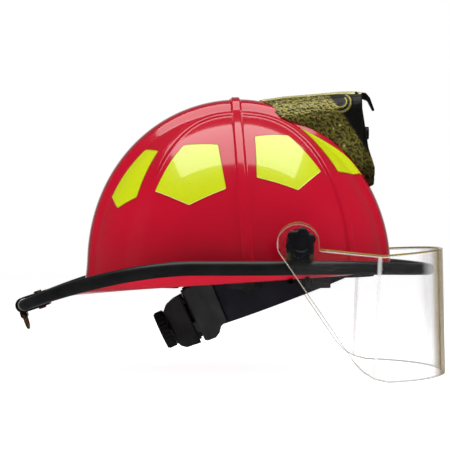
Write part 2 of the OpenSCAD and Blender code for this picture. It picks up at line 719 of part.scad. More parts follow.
// The band is tallest at the nape, and its lower edge drops towards the front
module above_band() {
    rotate([90, 0, 0]) linear_extrude(300, center = true)
        polygon([[120, band_top], [-16, band_top], [-44, band_rear_top - 5],
                 [-62, band_rear_top], [-100, band_rear_top], [-100, 60], [120, 60]]);
}
module below_band() {
    rotate([90, 0, 0]) linear_extrude(300, center = true)
        polygon([[-100, -14.5], [110, -31.2], [110, -60], [-100, -60]]);
}
module headband() {
    color("#23252c") band_frame() difference() {
        band_ring(0, band_wall, -34, band_rear_top + 1);
        above_band();
        below_band();
        translate([0, 0, -60]) linear_extrude(120) sector(pod_half + 0.15);
    }
}
module brow_pad() {
    color("#3a3c42") band_frame() difference() {
        band_ring(-6, -0.3, -28, band_top - 1.5);
        translate([-100, -150, -60]) cube([122, 300, 120]);
        below_band();
    }
}
module nape_pad() {
    color("#3a3c42") band_frame() translate([0, 0, pod_z - 11]) linear_extrude(22)
        intersection() {
            difference() {
                circle(r = band_r - 1.3, $fn = 120);
                circle(r = band_r - 7, $fn = 120);
            }
            sector(34);
        }
}

// Shape of the ratchet cover seen from the side, in the band's frame
module pod_side() {
    polygon([[-96, pod_z - 15.5], [-93.5, pod_z - 20], [-89, pod_z - 23], [-70, pod_z - 24],
             [-70, pod_z + 24], [-84, pod_z + 23.2], [-91, pod_z + 21], [-96, pod_z + 16]]);
}
module ring_part(inner, outer, low, high, half_angle) {
    translate([0, 0, low]) linear_extrude(high - low) intersection() {
        difference() {
            circle(r = outer, $fn = 120);
            circle(r = inner, $fn = 120);
        }
        sector(half_angle);
    }
}
module at_pod_screws(from_x) {
    for (y = [-22, 22], z = [-16.8, 16.8])
        translate([-from_x, y, pod_z + z]) rotate([0, -90, 0]) children();
}
module ratchet_housing() {
    color("#17181a") band_frame() {
        difference() {
            union() {
                ring_part(band_r - 0.5, wing_r - skin_gap, pod_z - 19, pod_z + 19, pod_half);
                for (side = [1, -1])
                    translate([0, 0, side > 0 ? 0 : 2 * pod_z - tiny])
                        ring_part(wing_r - skin_gap - tiny, wing_r + wing_wall + skin_gap,
                                  side > 0 ? pod_z + channel_half + 0.3 : -pod_z - 19 + tiny,
                                  side > 0 ? pod_z + 19 : -pod_z - channel_half - 0.3,
                                  pod_half);
            }
            at_pod_screws(60) cylinder(r = pod_screw_r, h = 40);
        }
    }
}
module ratchet_cover() {
    inner = wing_r + wing_wall + skin_gap;
    color("#1b1c1f") band_frame() difference() {
        intersection() {
            rotate([90, 0, 0]) linear_extrude(200, center = true) pod_side();
            translate([0, 0, -60]) linear_extrude(120) difference() {
                polygon([[-60, -27], [-76.5, -33.8], [-90, -20], [-96, -13], [-96, 13],
                         [-90, 20], [-76.5, 33.8], [-60, 27]]);
                circle(r = inner + 0.1, $fn = 120);
            }
        }
        translate([-70, 0, pod_z]) rotate([0, -90, 0]) cylinder(r = shaft_r + 0.06, h = 40);
        translate([-70, 0, pod_z]) rotate([0, -90, 0]) cylinder(r = 7, h = 15);
        at_pod_screws(60) cylinder(r = pod_screw_r, h = 25.5);
    }
}
module ratchet_screws() {
    color("silver") band_frame() at_pod_screws(72.4) cylinder(r = pod_screw_r, h = 13);
}
module ratchet_knob() {
    knob_r = ratchet_d / 2;
    color("#141416") band_frame() translate([-knob_x, 0, pod_z]) rotate([0, -90, 0])
        difference() {
            union() {
                cylinder(r = knob_r - 1.2, h = 9.4);
                for (a = [0 : 15 : 345])
                    rotate([0, 0, a]) translate([knob_r - 2.2, 0, 0.6]) cylinder(r = 1.9, h = 7.6);
            }
            translate([0, 0, 7.6]) cylinder(r = knob_r - 5, h = 3);
            translate([0, 0, -1]) cylinder(r = shaft_r, h = knob_bore + 1);
        }
}
module drive_pinion() {
    root = pinion_r - 1.25;
    tip = pinion_r + 0.8;
    color("#8c8c90") band_frame() translate([-wing_r, 0, pod_z]) rotate([0, -90, 0]) {
        cylinder(r = shaft_r, h = knob_x + knob_bore - wing_r);
        linear_extrude(wing_wall) {
            circle(r = root);
            for (i = [0 : pinion_teeth - 1])
                rotate([0, 0, i * 360 / pinion_teeth])
                    polygon([[root - 0.5, -0.85], [tip, -0.35], [tip, 0.35], [root - 0.5, 0.85]]);
        }
    }
}

// Nape wing on one side: a broad plate, and a toothed tongue that runs through the housing
module wing_side() {
    polygon([[-70.6, pod_z - 23], [-68, pod_z - 24.3], [-60, pod_z - 24.3], [-55, pod_z - 21.5],
             [-51, pod_z - 16.5], [-44.5, pod_z - 14], [-43, pod_z + 21], [-46, pod_z + 26.5],
             [-66, pod_z + 27.5], [-70.6, pod_z + 25.4]]);
}
module wing(side) {
    tongue_low = pinion_r - tooth_half;
    root = tongue_low + 2.3;
    color("#34363a") band_frame() mirror([0, side > 0 ? 0 : 1, 0]) intersection() {
        translate([0, 0, pod_z - 40]) difference() {
            cylinder(r = wing_r + wing_wall, h = 80, $fn = 120);
            translate([0, 0, -1]) cylinder(r = wing_r, h = 82, $fn = 120);
        }
        union() {
            translate([0, 80, 0]) rotate([90, 0, 0]) linear_extrude(79) wing_side();
            translate([0, 0, pod_z]) mirror([0, 0, side > 0 ? 0 : 1]) difference() {
                translate([0, 0, tongue_low]) linear_extrude(channel_half - tongue_low)
                    polygon([[-30, 0], for (a = [-21, 0, 17, 35]) [-95 * cos(a), 95 * sin(a)]]);
                for (i = [-9 : 9])
                    rotate([0, 0, -i * rack_pitch]) translate([-90, 0, 0])
                        rotate([90, 0, 90]) linear_extrude(20)
                            polygon([[-1.3, tongue_low - 1], [-0.6, root], [0.6, root],
                                     [1.3, tongue_low - 1]]);
            }
        }
    }
}
module nape_wing_left() { wing(1); }
module nape_wing_right() { wing(-1); }

outer_shell();
edge_trim();
reflective_stickers();
front_piece_holder();
holder_screws();
ring_clip();
ring_clip_rivets();
hanging_ring();
visor_bracket_left();
visor_bracket_right();
bracket_screws();
pivot_bolts();
friction_washers();
visor();
star_knob_left();
star_knob_right();
knob_insert_left();
knob_insert_right();
impact_cap();
foam_liner();
crown_strap_cross();
crown_strap_left_front();
crown_strap_right_front();
crown_pad();
strap_keys();
band_hangers();
headband();
brow_pad();
nape_pad();
ratchet_housing();
ratchet_cover();
ratchet_screws();
ratchet_knob();
drive_pinion();
nape_wing_left();
nape_wing_right();
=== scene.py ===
"""Looks of the firefighter helmet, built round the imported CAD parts. Sizes are in millimetres until
a mesh is made. +X is the front, +Y the wearer's left, +Z up."""
import math

import bmesh
import bpy
import numpy as np
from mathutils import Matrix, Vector
from mathutils.geometry import delaunay_2d_cdt
from mathutils.kdtree import KDTree


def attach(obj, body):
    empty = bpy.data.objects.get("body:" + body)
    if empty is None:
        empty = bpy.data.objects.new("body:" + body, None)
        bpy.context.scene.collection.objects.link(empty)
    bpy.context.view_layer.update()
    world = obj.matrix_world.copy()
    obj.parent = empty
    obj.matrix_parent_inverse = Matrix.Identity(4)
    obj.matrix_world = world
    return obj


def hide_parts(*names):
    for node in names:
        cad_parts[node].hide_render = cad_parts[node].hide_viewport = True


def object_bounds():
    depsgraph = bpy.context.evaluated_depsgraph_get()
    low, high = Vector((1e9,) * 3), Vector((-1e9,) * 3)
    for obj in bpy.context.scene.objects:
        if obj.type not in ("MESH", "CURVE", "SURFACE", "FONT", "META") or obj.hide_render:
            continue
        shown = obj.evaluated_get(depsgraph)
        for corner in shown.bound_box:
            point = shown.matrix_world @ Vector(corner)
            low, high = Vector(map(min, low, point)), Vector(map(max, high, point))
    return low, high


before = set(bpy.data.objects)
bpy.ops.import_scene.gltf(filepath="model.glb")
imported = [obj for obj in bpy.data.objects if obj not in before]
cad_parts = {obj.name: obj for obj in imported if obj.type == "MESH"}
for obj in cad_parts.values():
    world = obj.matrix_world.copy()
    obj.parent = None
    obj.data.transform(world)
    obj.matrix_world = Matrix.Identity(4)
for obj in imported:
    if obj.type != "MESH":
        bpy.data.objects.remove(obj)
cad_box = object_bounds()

MM = 0.001
TAU = 2 * math.pi

# Shell, as in part.scad
DOME = np.array([138, 140.5, 116, 149.2])
RIDGE = DOME + np.array([3, 3, 3, 6.3])
PLAN_POWER = 2.1
RIDGE_HALF, RIDGE_SOFT = 36, 10
RIB_WIDTH, RIB_HEIGHT = 10, 2.2
RIB_FRONT, RIB_REAR, RIB_START, REAR_RIB_END = 39, 43, 45, 27
BRIM = np.array([178, 203.5, 144])
BRIM_LEVEL, DROOP, DIP = 3.8, 40, 6
WALL_FLARE = 0.12
ROOT_MID, ROOT_SLOPE, ROOT_SINK = -11.3, 0.072, 3
BRIM_POWER = 1.8
SHELL_WALL = 2.5
TRIM_GRIP, TRIM_THICK, TRIM_NOSE = 8, 10.5, 4
STICKERS = [
    [(153, 45), (141, 44), (141, 32), (141, 24), (151, 20), (159, 24.5), (157, 34)],
    [(126, 46.5), (104, 46.5), (100, 36), (97, 26.5), (114, 20.5), (132, 26), (129, 39)],
    [(80.5, 51), (55.5, 52.5), (49.5, 42.5), (46, 35), (62, 26.5), (82, 31)],
    [(37, 58.5), (17, 39), (13.5, 33.5), (34, 35.5), (35.5, 47)],
]

# Visor
PIVOT = (51.3, 23.5)
EAR_Y, VISOR_WALL, EAR_R = 153.8, 3.5, 18.5
CREASE_LOW, CREASE_TOP, CREASE_ANGLE = 114, 121, 7
NOSE_LOW, NOSE_TOP = 192, 189
VISOR_LOW, VISOR_TOP = -110, 15
SIDE_SHARE = 0.3       # share of the sheet's columns in each flat side
EDGE_STEPS = [0, 0.3, 0.8, 1.4, 2.0, 2.6, 3.5, 5.1, 6.75, 8.4, 10]
STAR_R = 13.6

# Top line of the front-piece holder: places along the helmet, and the heights there
HOLDER_TOP = [15, 41, 60, 92, 114], [154, 158, 159.5, 162.4, 162.4]

# Suspension, in a frame tilted about its centre
BAND_C = np.array([20.5, 0, -14.9])
BAND_TILT = math.radians(25)
BAND_R, BAND_FRONT, BAND_WALL = 77, 92, 2
BAND_TOP, BAND_REAR_TOP = 9, 25
POD_Z, POD_HALF = -3, 23.65
CAP = np.array([126, 123, 97, 134])
CAP_WALL = 2.5
STRAP_WIDE, STRAP_THICK, STRAP_FOOT = 19, 1.5, -6


# ---------------------------------------------------------------- shapes
def ease(t):
    c = np.clip(t, 0, 1)
    return c * c * (3 - 2 * c)


def mix(a, b, t):
    return a + (b - a) * t


def unit(v):
    return v / np.maximum(np.linalg.norm(v, axis=-1, keepdims=True), 1e-12)


def plan_r(phi, dome):
    c, s = np.cos(phi), np.sin(phi)
    reach = np.where(c > 0, dome[0], dome[1])
    total = (np.abs(c) / reach) ** PLAN_POWER + (np.abs(s) / dome[2]) ** PLAN_POWER
    return total ** (-1 / PLAN_POWER)


def profile_n(phi):
    c = np.cos(phi)
    return 2.15 - np.where(c > 0, 0.25, 0.1) * c * c


def dome_pt(phi, psi, dome):
    k = 2 / profile_n(phi)
    r = plan_r(phi, dome) * np.abs(np.cos(psi)) ** k
    return np.stack([r * np.cos(phi), r * np.sin(phi), dome[3] * np.abs(np.sin(psi)) ** k], -1)


def skin_pt(phi, psi, by=0.0):
    """Point of the shell without its narrow ribs, at plan angle phi and height angle psi."""
    low, high = dome_pt(phi, psi, DOME + by), dome_pt(phi, psi, RIDGE + by)
    mask = ease((RIDGE_HALF + RIDGE_SOFT / 2 - np.abs(low[..., 1])) / RIDGE_SOFT)
    return mix(low, high, mask[..., None])


def skin_normal(phi, psi, step=0.004):
    psi = np.minimum(psi, math.pi / 2 - 2 * step)
    across = skin_pt(phi + step, psi) - skin_pt(phi - step, psi)
    up = skin_pt(phi, psi + step) - skin_pt(phi, psi - step)
    return unit(np.cross(across, up))


def root_pt(phi):
    foot = skin_pt(phi, np.zeros_like(phi))
    back = np.minimum(foot[:, 0], 0) / DOME[1]
    z = ROOT_MID + ROOT_SLOPE * foot[:, 0] - ROOT_SINK * back ** 4
    return np.hypot(foot[:, 0], foot[:, 1]) - WALL_FLARE * z, z


def brim_pt(phi, s):
    """Point of the brim's upper face at share s of the way from its root to its edge."""
    root_r, root_z = root_pt(phi)
    edge_r = plan_r(phi, BRIM)
    x = edge_r * np.cos(phi)
    behind = -DROOP * (np.maximum(-x - 40, 0) / (BRIM[1] - 40)) ** BRIM_POWER
    ahead = -DIP * (np.maximum(x - 60, 0) / (BRIM[0] - 60)) ** 2
    r = mix(root_r, edge_r, s)
    z = mix(root_z, BRIM_LEVEL + behind + ahead, s ** BRIM_POWER)
    return np.stack([r * np.cos(phi), r * np.sin(phi), z], -1)


def psi_of(phi, measure, target):
    """Height angle at which a measure of the skin's point, growing with psi, reaches target."""
    low, high = np.zeros_like(phi), np.full_like(phi, math.pi / 2)
    for _ in range(34):
        mid = (low + high) / 2
        under = measure(skin_pt(phi, mid)) < target
        low, high = np.where(under, mid, low), np.where(under, high, mid)
    return (low + high) / 2


def foot_line(phi):
    """Points down the wall's foot, below a rib that ends at the dome's base."""
    spot = np.array([phi])
    low = skin_pt(spot, np.zeros(1))
    return mix(low, brim_pt(spot, 0.0), np.linspace(0, 1, 12)[:, None])


def cross_rib(side):
    """The rib over the crown leans back a little on its way up."""
    psi = np.radians(np.linspace(0, 88.2, 300))
    flank = skin_pt(np.full_like(psi, math.pi / 2), psi)
    lean = (7.2 - 0.075 * flank[:, 2]) / np.hypot(flank[:, 0], flank[:, 1])
    phi = side * np.arccos(np.clip(lean, -1, 1))
    return np.concatenate([skin_pt(phi, psi), foot_line(phi[0])])


def diagonal_rib(side, ahead, angle, low_psi):
    """A diagonal rib runs beside the ridge and then down a line of constant angle."""
    tilt = math.radians(angle)
    end = np.array([tilt if ahead > 0 else math.pi - tilt])
    far = dome_pt(end, np.radians([low_psi]), DOME)[0, 0]
    x = mix(4 * ahead, far, np.sin(np.linspace(0, math.pi / 2, 400)))
    y = (np.abs(x * math.tan(tilt)) ** 4 + RIB_START ** 4) ** 0.25
    phi = side * np.arctan2(y, x)
    share = np.minimum(1, np.abs(x / np.cos(phi)) / plan_r(phi, DOME))
    psi = np.arccos(share ** (profile_n(phi) / 2))
    line = skin_pt(phi, psi)
    return np.concatenate([line, foot_line(side * tilt)]) if ahead > 0 else line


def rib_lines():
    """Centre lines of the narrow ribs as dense points, each with its share of the full height."""
    lines, heights = [], []
    for side in (1, -1):
        rear = diagonal_rib(side, -1, RIB_REAR, REAR_RIB_END)
        lines += [cross_rib(side), diagonal_rib(side, 1, RIB_FRONT, 0), rear]
        rise = rear[:, 2] / DOME[3]
        heights += [np.ones(len(lines[-3])), np.ones(len(lines[-2])), ease((rise - 0.44) / 0.24)]
    return np.concatenate(lines), np.concatenate(heights)


def nearest(points, targets):
    """Distance from each point to the nearest target, and which target that is."""
    tree = KDTree(len(targets))
    for i, p in enumerate(targets):
        tree.insert(p, i)
    tree.balance()
    found = [tree.find(p) for p in points]
    return np.array([f[2] for f in found]), np.array([f[1] for f in found])


def band_world(p):
    """Points of the band's tilted frame, in the helmet's frame."""
    c, s = math.cos(BAND_TILT), math.sin(BAND_TILT)
    p = np.asarray(p, float)
    return BAND_C + np.stack([c * p[..., 0] - s * p[..., 2], p[..., 1],
                              s * p[..., 0] + c * p[..., 2]], -1)


# ---------------------------------------------------------------- meshes
def add_mesh(name, points, quads, tris=None, attrs=None, uv=None):
    tris = np.zeros((0, 3), int) if tris is None else np.asarray(tris, int)
    quads = np.asarray(quads, int).reshape(-1, 4)
    p = np.asarray(points, float) * MM
    halves = np.concatenate([quads[:, [0, 1, 2]], quads[:, [0, 2, 3]], tris])
    if np.einsum("ij,ij->", p[halves[:, 0]], np.cross(p[halves[:, 1]], p[halves[:, 2]])) < 0:
        quads, tris = quads[:, ::-1], tris[:, ::-1]
    mesh = bpy.data.meshes.new(name)
    mesh.vertices.add(len(p))
    mesh.vertices.foreach_set("co", p.ravel())
    loops = np.concatenate([quads.ravel(), tris.ravel()]).astype(np.int32)
    mesh.loops.add(len(loops))
    mesh.loops.foreach_set("vertex_index", loops)
    counts = np.concatenate([np.full(len(quads), 4), np.full(len(tris), 3)])
    mesh.polygons.add(len(counts))
    mesh.polygons.foreach_set("loop_start", np.concatenate([[0], np.cumsum(counts)[:-1]]))
    mesh.polygons.foreach_set("use_smooth", np.ones(len(counts), bool))
    if uv is not None:
        layer = mesh.uv_layers.new(name="UVMap")
        layer.data.foreach_set("uv", (np.asarray(uv)[loops] * MM).ravel())
    for key, values in (attrs or {}).items():
        mesh.attributes.new(key, "FLOAT", "POINT").data.foreach_set("value", values)
    mesh.validate()
    mesh.update()
    obj = bpy.data.objects.new(name, mesh)
    bpy.context.scene.collection.objects.link(obj)
    return obj


def grid_faces(m, n, ring=False, start=0):
    """Faces of m rows of n points, each row a closed loop; ring also joins the last row to the first."""
    i = np.arange(m if ring else m - 1)[:, None]
    j = np.arange(n)[None, :]
    a, b = i * n + j, i * n + (j + 1) % n
    c, d = (i + 1) % m * n + (j + 1) % n, (i + 1) % m * n + j
    return start + np.stack([a, b, c, d], -1).reshape(-1, 4)


def loft(name, rows, ring=False, attrs=None, uv=None):
    """Closed solid through rows of closed loops."""
    rows = np.asarray(rows, float)
    m, n = rows.shape[:2]
    points, tris = rows.reshape(-1, 3), None
    attrs = {k: np.asarray(v, float).ravel() for k, v in (attrs or {}).items()}
    if not ring:
        points = np.concatenate([points, [rows[0].mean(0)], [rows[-1].mean(0)]])
        j = np.arange(n)
        k = (j + 1) % n
        tris = np.concatenate([np.stack([k, j, np.full(n, m * n)], -1),
                               np.stack([(m - 1) * n + j, (m - 1) * n + k,
                                         np.full(n, m * n + 1)], -1)])
        attrs = {key: np.concatenate([v, [v[:n].mean(), v[-n:].mean()]])
                 for key, v in attrs.items()}
        if uv is not None:
            uv = np.concatenate([np.asarray(uv).reshape(-1, 2), [uv[0].mean(0)], [uv[-1].mean(0)]])
    elif uv is not None:
        uv = np.asarray(uv).reshape(-1, 2)
    return add_mesh(name, points, grid_faces(m, n, ring), tris, attrs, uv)


def rounded_box(wide, deep, radius, steps=4):
    """Loop of points of a rounded rectangle, centred on the origin."""
    loop = []
    for quarter, (sx, sy) in enumerate(((1, 1), (-1, 1), (-1, -1), (1, -1))):
        for i in range(steps + 1):
            a = (quarter + i / steps) * math.pi / 2
            loop.append((sx * (wide / 2 - radius) + radius * math.cos(a),
                         sy * (deep / 2 - radius) + radius * math.sin(a)))
    return np.array(loop)


def applied(obj):
    """obj with its modifiers made part of its mesh."""
    graph = bpy.context.evaluated_depsgraph_get()
    mesh = bpy.data.meshes.new_from_object(obj.evaluated_get(graph))
    obj.modifiers.clear()
    obj.data = mesh
    return obj


def remeshed(obj, voxel):
    mod = obj.modifiers.new("remesh", "REMESH")
    mod.mode = "VOXEL"
    mod.voxel_size = voxel * MM
    mod.use_smooth_shade = True
    return applied(obj)


def coords(obj):
    co = np.zeros(len(obj.data.vertices) * 3)
    obj.data.vertices.foreach_get("co", co)
    return co.reshape(-1, 3) / MM


def set_coords(obj, points):
    obj.data.vertices.foreach_set("co", (points * MM).ravel())
    obj.data.update()


def puffed(obj, voxel, cap, pressure=4.0, frames=20):
    """Swells a pad by a short cloth simulation, with no point moving further than cap."""
    remeshed(obj, voxel)
    rest = coords(obj)
    cloth = obj.modifiers.new("cloth", "CLOTH")
    cloth.settings.quality = 6
    cloth.settings.use_pressure = True
    cloth.settings.uniform_pressure_force = pressure
    cloth.settings.tension_stiffness = cloth.settings.compression_stiffness = 12
    cloth.settings.effector_weights.gravity = 0
    for number in range(1, frames + 1):
        bpy.context.scene.frame_set(number)
    applied(obj)
    moved = coords(obj) - rest
    far = np.linalg.norm(moved, axis=1, keepdims=True)
    set_coords(obj, rest + moved * np.minimum(1, cap / np.maximum(far, 1e-9)))
    bpy.context.scene.frame_set(1)
    fine = obj.modifiers.new("fine", "SUBSURF")
    fine.levels = fine.render_levels = 1
    applied(obj)
    obj.data.polygons.foreach_set("use_smooth", np.ones(len(obj.data.polygons), bool))
    return obj


def place(obj, body, node, material):
    """Puts a new piece on its body in place of its CAD nodes, with its material."""
    obj.data.materials.clear()
    obj.data.materials.append(material)
    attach(obj, body)
    for name in [node] if isinstance(node, str) else node:
        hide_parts(name)
    return obj


# ---------------------------------------------------------------- materials
class Shader:
    """A node-based material on one Principled shader."""

    def __init__(self, name, color, rough, **inputs):
        self.mat = bpy.data.materials.new(name)
        self.mat.use_nodes = True
        self.nodes, self.links = self.mat.node_tree.nodes, self.mat.node_tree.links
        self.bsdf = self.nodes["Principled BSDF"]
        self.bsdf.inputs["Base Color"].default_value = (*color, 1)
        self.bsdf.inputs["Roughness"].default_value = rough
        for key, value in inputs.items():
            self.bsdf.inputs[key.replace("_", " ")].default_value = value
        self.normal = None

    def node(self, kind, inputs=None, **props):
        n = self.nodes.new(kind)
        for key, value in props.items():
            setattr(n, key, value)
        for key, value in (inputs or {}).items():
            if isinstance(value, bpy.types.NodeSocket):
                self.links.new(value, n.inputs[key])
            else:
                n.inputs[key].default_value = value
        return n

    def place(self, scale=(1, 1, 1)):
        source = self.node("ShaderNodeTexCoord").outputs["Object"]
        return self.node("ShaderNodeMapping", {"Vector": source, "Scale": scale}).outputs[0]

    def noise(self, scale, detail=3, stretch=(1, 1, 1), rough=0.55):
        return self.node("ShaderNodeTexNoise", {
            "Vector": self.place(stretch), "Scale": scale, "Detail": detail,
            "Roughness": rough}).outputs["Fac"]

    def attribute(self, name):
        return self.node("ShaderNodeAttribute", attribute_name=name).outputs["Fac"]

    def ramp(self, fac, stops):
        n = self.node("ShaderNodeValToRGB", {"Fac": fac})
        ramp = n.color_ramp
        while len(ramp.elements) < len(stops):
            ramp.elements.new(0.5)
        for element, (at, color) in zip(ramp.elements, stops):
            element.position = at
            element.color = (*color, 1) if len(color) == 3 else (color[0],) * 3 + (1,)
        return n.outputs["Color"]

    def remap(self, value, low, high, start=0.0, end=1.0):
        return self.node("ShaderNodeMapRange", {
            "Value": value, "From Min": start, "From Max": end,
            "To Min": low, "To Max": high}).outputs["Result"]

    def math(self, kind, a, b=0.0):
        return self.node("ShaderNodeMath", {0: a, 1: b}, operation=kind).outputs[0]

    def bump(self, height, strength, distance):
        inputs = {"Height": height, "Strength": strength, "Distance": distance * MM}
        if self.normal:
            inputs["Normal"] = self.normal
        self.normal = self.node("ShaderNodeBump", inputs).outputs["Normal"]
        self.links.new(self.normal, self.bsdf.inputs["Normal"])
        return self

    def to(self, socket, value):
        self.links.new(value, self.bsdf.inputs[socket])
        return self


def gloss_red():
    s = Shader("shell_red", (0.56, 0.004, 0.024), 0.4, Coat_Weight=1.0, Coat_Roughness=0.1,
               Coat_IOR=1.55, Specular_IOR_Level=0.1)
    s.to("Base Color", s.ramp(s.noise(14, 4), [(0.3, (0.45, 0.002, 0.017)),
                                               (0.7, (0.51, 0.003, 0.022))]))
    s.to("Roughness", s.remap(s.noise(180, 3), 0.26, 0.38))
    return s.bump(s.noise(260, 2), 0.05, 0.12).mat


def lime_sheet():
    # painted light: a faint lime emission makes the sheet glow
    s = Shader("lime_reflective", (0.62, 0.8, 0.0), 0.3, Coat_Weight=1.0, Coat_Roughness=0.04,
               Emission_Color=(0.6, 0.75, 0.0, 1), Emission_Strength=0.06)
    cells = s.node("ShaderNodeTexVoronoi", {"Vector": s.place(), "Scale": 900.0},
                   feature="DISTANCE_TO_EDGE").outputs["Distance"]
    lime = s.ramp(cells, [(0.0, (0.44, 0.52, 0.0)), (0.12, (0.58, 0.66, 0.0))])
    rim = s.node("ShaderNodeMix", {"Factor": s.attribute("rim"), 6: lime,
                                   7: (0.36, 0.13, 0.004, 1)}, data_type="RGBA")
    s.to("Base Color", rim.outputs[2])
    return s.bump(cells, 0.08, 0.1).mat


def black_rubber():
    s = Shader("trim_rubber", (0.006, 0.0065, 0.007), 0.36, Specular_IOR_Level=0.35)
    s.to("Base Color", s.ramp(s.noise(60, 5), [(0.3, (0.004, 0.0045, 0.005)),
                                               (0.75, (0.009, 0.0095, 0.0105))]))
    s.to("Roughness", s.remap(s.noise(220, 4), 0.3, 0.42))
    return s.bump(s.noise(1400, 3), 0.12, 0.06).mat


def moulded(name, low, high, rough=(0.42, 0.6), grain=1500, strength=0.18):
    s = Shader(name, high, rough[0], Specular_IOR_Level=0.22)
    s.to("Base Color", s.ramp(s.noise(45, 4), [(0.3, low), (0.7, high)]))
    s.to("Roughness", s.remap(s.noise(120, 3), *rough))
    return s.bump(s.noise(grain, 2), strength, 0.05).mat


def metal(name, dark, light, rough=(0.2, 0.42), patina=0.5, scale=90):
    s = Shader(name, light, rough[0], Metallic=1.0)
    s.to("Base Color", s.ramp(s.noise(scale, 6, rough=0.7),
                              [(patina - 0.16, dark), (patina + 0.12, light)]))
    s.to("Roughness", s.remap(s.noise(scale * 2.5, 4), *rough))
    return s.bump(s.noise(scale * 6, 4), 0.12, 0.1).mat


def bracket_brass():
    """Dark brass, worn bright at the two lower corners of each bracket's upright."""
    s = Shader("bracket_brass", (0.05, 0.035, 0.012), 0.35, Metallic=1.0)
    spot = s.node("ShaderNodeSeparateXYZ", {
        "Vector": s.node("ShaderNodeTexCoord").outputs["Object"]}).outputs
    aside = s.math("ABSOLUTE", s.math("SUBTRACT", spot["X"], PIVOT[0] * MM))
    edge = s.remap(aside, 0.0, 1.0, 7 * MM, 10 * MM)
    low = s.remap(spot["Z"], 1.0, 0.0, 12 * MM, 17 * MM)
    worn = s.math("MULTIPLY", s.math("MULTIPLY", edge, low), s.remap(s.noise(160, 4), 0.3, 1.3))
    s.to("Base Color", s.ramp(worn, [(0.1, (0.014, 0.011, 0.006)), (0.8, (0.5, 0.37, 0.1))]))
    s.to("Roughness", s.remap(s.noise(200, 4), 0.3, 0.48))
    return s.mat


def screw_brass():
    """Brass heads above the brim, blackened nuts below it."""
    s = Shader("screw_brass", (0.4, 0.28, 0.1), 0.3, Metallic=1.0)
    place_at = s.node("ShaderNodeTexCoord").outputs["Object"]
    height = s.node("ShaderNodeSeparateXYZ", {"Vector": place_at}).outputs["Z"]
    above = s.remap(height, 0.0, 1.0, -5 * MM, -4 * MM)
    s.to("Base Color", s.ramp(above, [(0.2, (0.008, 0.008, 0.007)), (0.8, (0.42, 0.3, 0.1))]))
    s.to("Roughness", s.remap(s.noise(220, 4), 0.26, 0.42))
    return s.mat


def cast_brass():
    s = Shader("antique_brass", (0.3, 0.24, 0.07), 0.34, Metallic=0.5)
    grain = s.noise(190, 6, rough=0.75)
    height = s.math("ADD", s.attribute("relief"), s.remap(grain, -0.16, 0.16))
    worn = s.ramp(height, [(0.2, (0.006, 0.006, 0.002)), (0.48, (0.085, 0.075, 0.012)),
                           (0.68, (0.3, 0.26, 0.05)), (0.95, (0.72, 0.67, 0.33))])
    # painted shade: the holder's plain front face is painted near-black
    color = s.node("ShaderNodeMix", {"Factor": s.attribute("painted_shade_panel"), 6: worn,
                                     7: (0.006, 0.006, 0.005, 1)}, data_type="RGBA")
    s.to("Base Color", color.outputs[2])
    s.to("Roughness", s.remap(height, 0.5, 0.26))
    return s.bump(grain, 0.35, 0.15).mat


def clear_sheet():
    """Clear sheet with painted highlights: near-white opaque lines along its crease and just below its top
    edge stand in for the light they catch, and its edges are drawn as opaque lines, amber at the top and by
    the ears; the attributes are distances over 10 mm.
    """
    s = Shader("clear_visor", (0.93, 0.94, 0.92), 0.03, IOR=1.5, Specular_IOR_Level=0.6)
    facing = s.node("ShaderNodeLayerWeight", {"Blend": 0.25}).outputs["Facing"]
    front = s.ramp(facing, [(0.36, (0.0,)), (0.42, (0.2,)), (0.5, (0.26,)), (0.56, (0.55,)),
                            (0.8, (0.8,)), (1.0, (0.97,))])
    low = s.ramp(s.attribute("low_edge"), [(0.07, (0.62,)), (0.16, (0.0,))])
    # the top edge gets an amber band and, just below it, a painted highlight line
    top = s.ramp(s.attribute("top_edge"), [(0.08, (0.9,)), (0.13, (0.15,)), (0.18, (0.6,)),
                                           (0.25, (0.0,))])
    top = s.math("MULTIPLY", top, s.remap(s.attribute("level"), 0.55, 1.0))
    # painted highlight: a near-white line along the crease
    crease = s.ramp(s.attribute("crease"), [(0.07, (0.6,)), (0.19, (0.0,))])
    alpha = s.math("MAXIMUM", s.remap(s.noise(40, 6, (1, 1, 4)), 0.0, 0.015), front)
    for line in (low, top, crease):
        alpha = s.math("MAXIMUM", alpha, line)
    s.to("Alpha", alpha)
    at_top = s.ramp(s.attribute("top_edge"), [(0.1, (1.0,)), (0.14, (0.0,))])
    round_ear = s.remap(s.attribute("level"), 1.0, 0.0)
    rim = s.math("MAXIMUM", s.math("MAXIMUM", at_top, s.math("MULTIPLY", low, round_ear)),
                 s.ramp(facing, [(0.5, (0.0,)), (0.56, (1.0,))]))
    tint = s.node("ShaderNodeMix", {"Factor": rim, 6: (0.82, 0.82, 0.82, 1),
                                    7: (0.26, 0.175, 0.03, 1)}, data_type="RGBA")
    plain = s.math("MULTIPLY", low, s.remap(s.attribute("level"), 0.0, 1.0))
    dull = s.node("ShaderNodeMix", {"Factor": plain, 6: tint.outputs[2],
                                    7: (0.28, 0.28, 0.25, 1)}, data_type="RGBA")
    s.to("Base Color", dull.outputs[2])
    return s.mat


def webbing():
    s = Shader("webbing", (0.03, 0.032, 0.038), 0.8, Sheen_Weight=0.35, Sheen_Roughness=0.4,
               Specular_IOR_Level=0.25)
    uv = s.node("ShaderNodeTexCoord").outputs["UV"]
    along = s.node("ShaderNodeTexWave", {"Vector": uv, "Scale": 190.0, "Distortion": 0.6,
                                         "Detail": 1.0}, bands_direction="X").outputs["Fac"]
    across = s.node("ShaderNodeTexWave", {"Vector": uv, "Scale": 150.0, "Distortion": 0.4,
                                          "Detail": 1.0}, bands_direction="Y").outputs["Fac"]
    weave = s.math("MULTIPLY", along, across)
    s.to("Base Color", s.ramp(weave, [(0.1, (0.012, 0.013, 0.016)), (0.7, (0.05, 0.053, 0.062))]))
    return s.bump(weave, 0.6, 0.4).mat


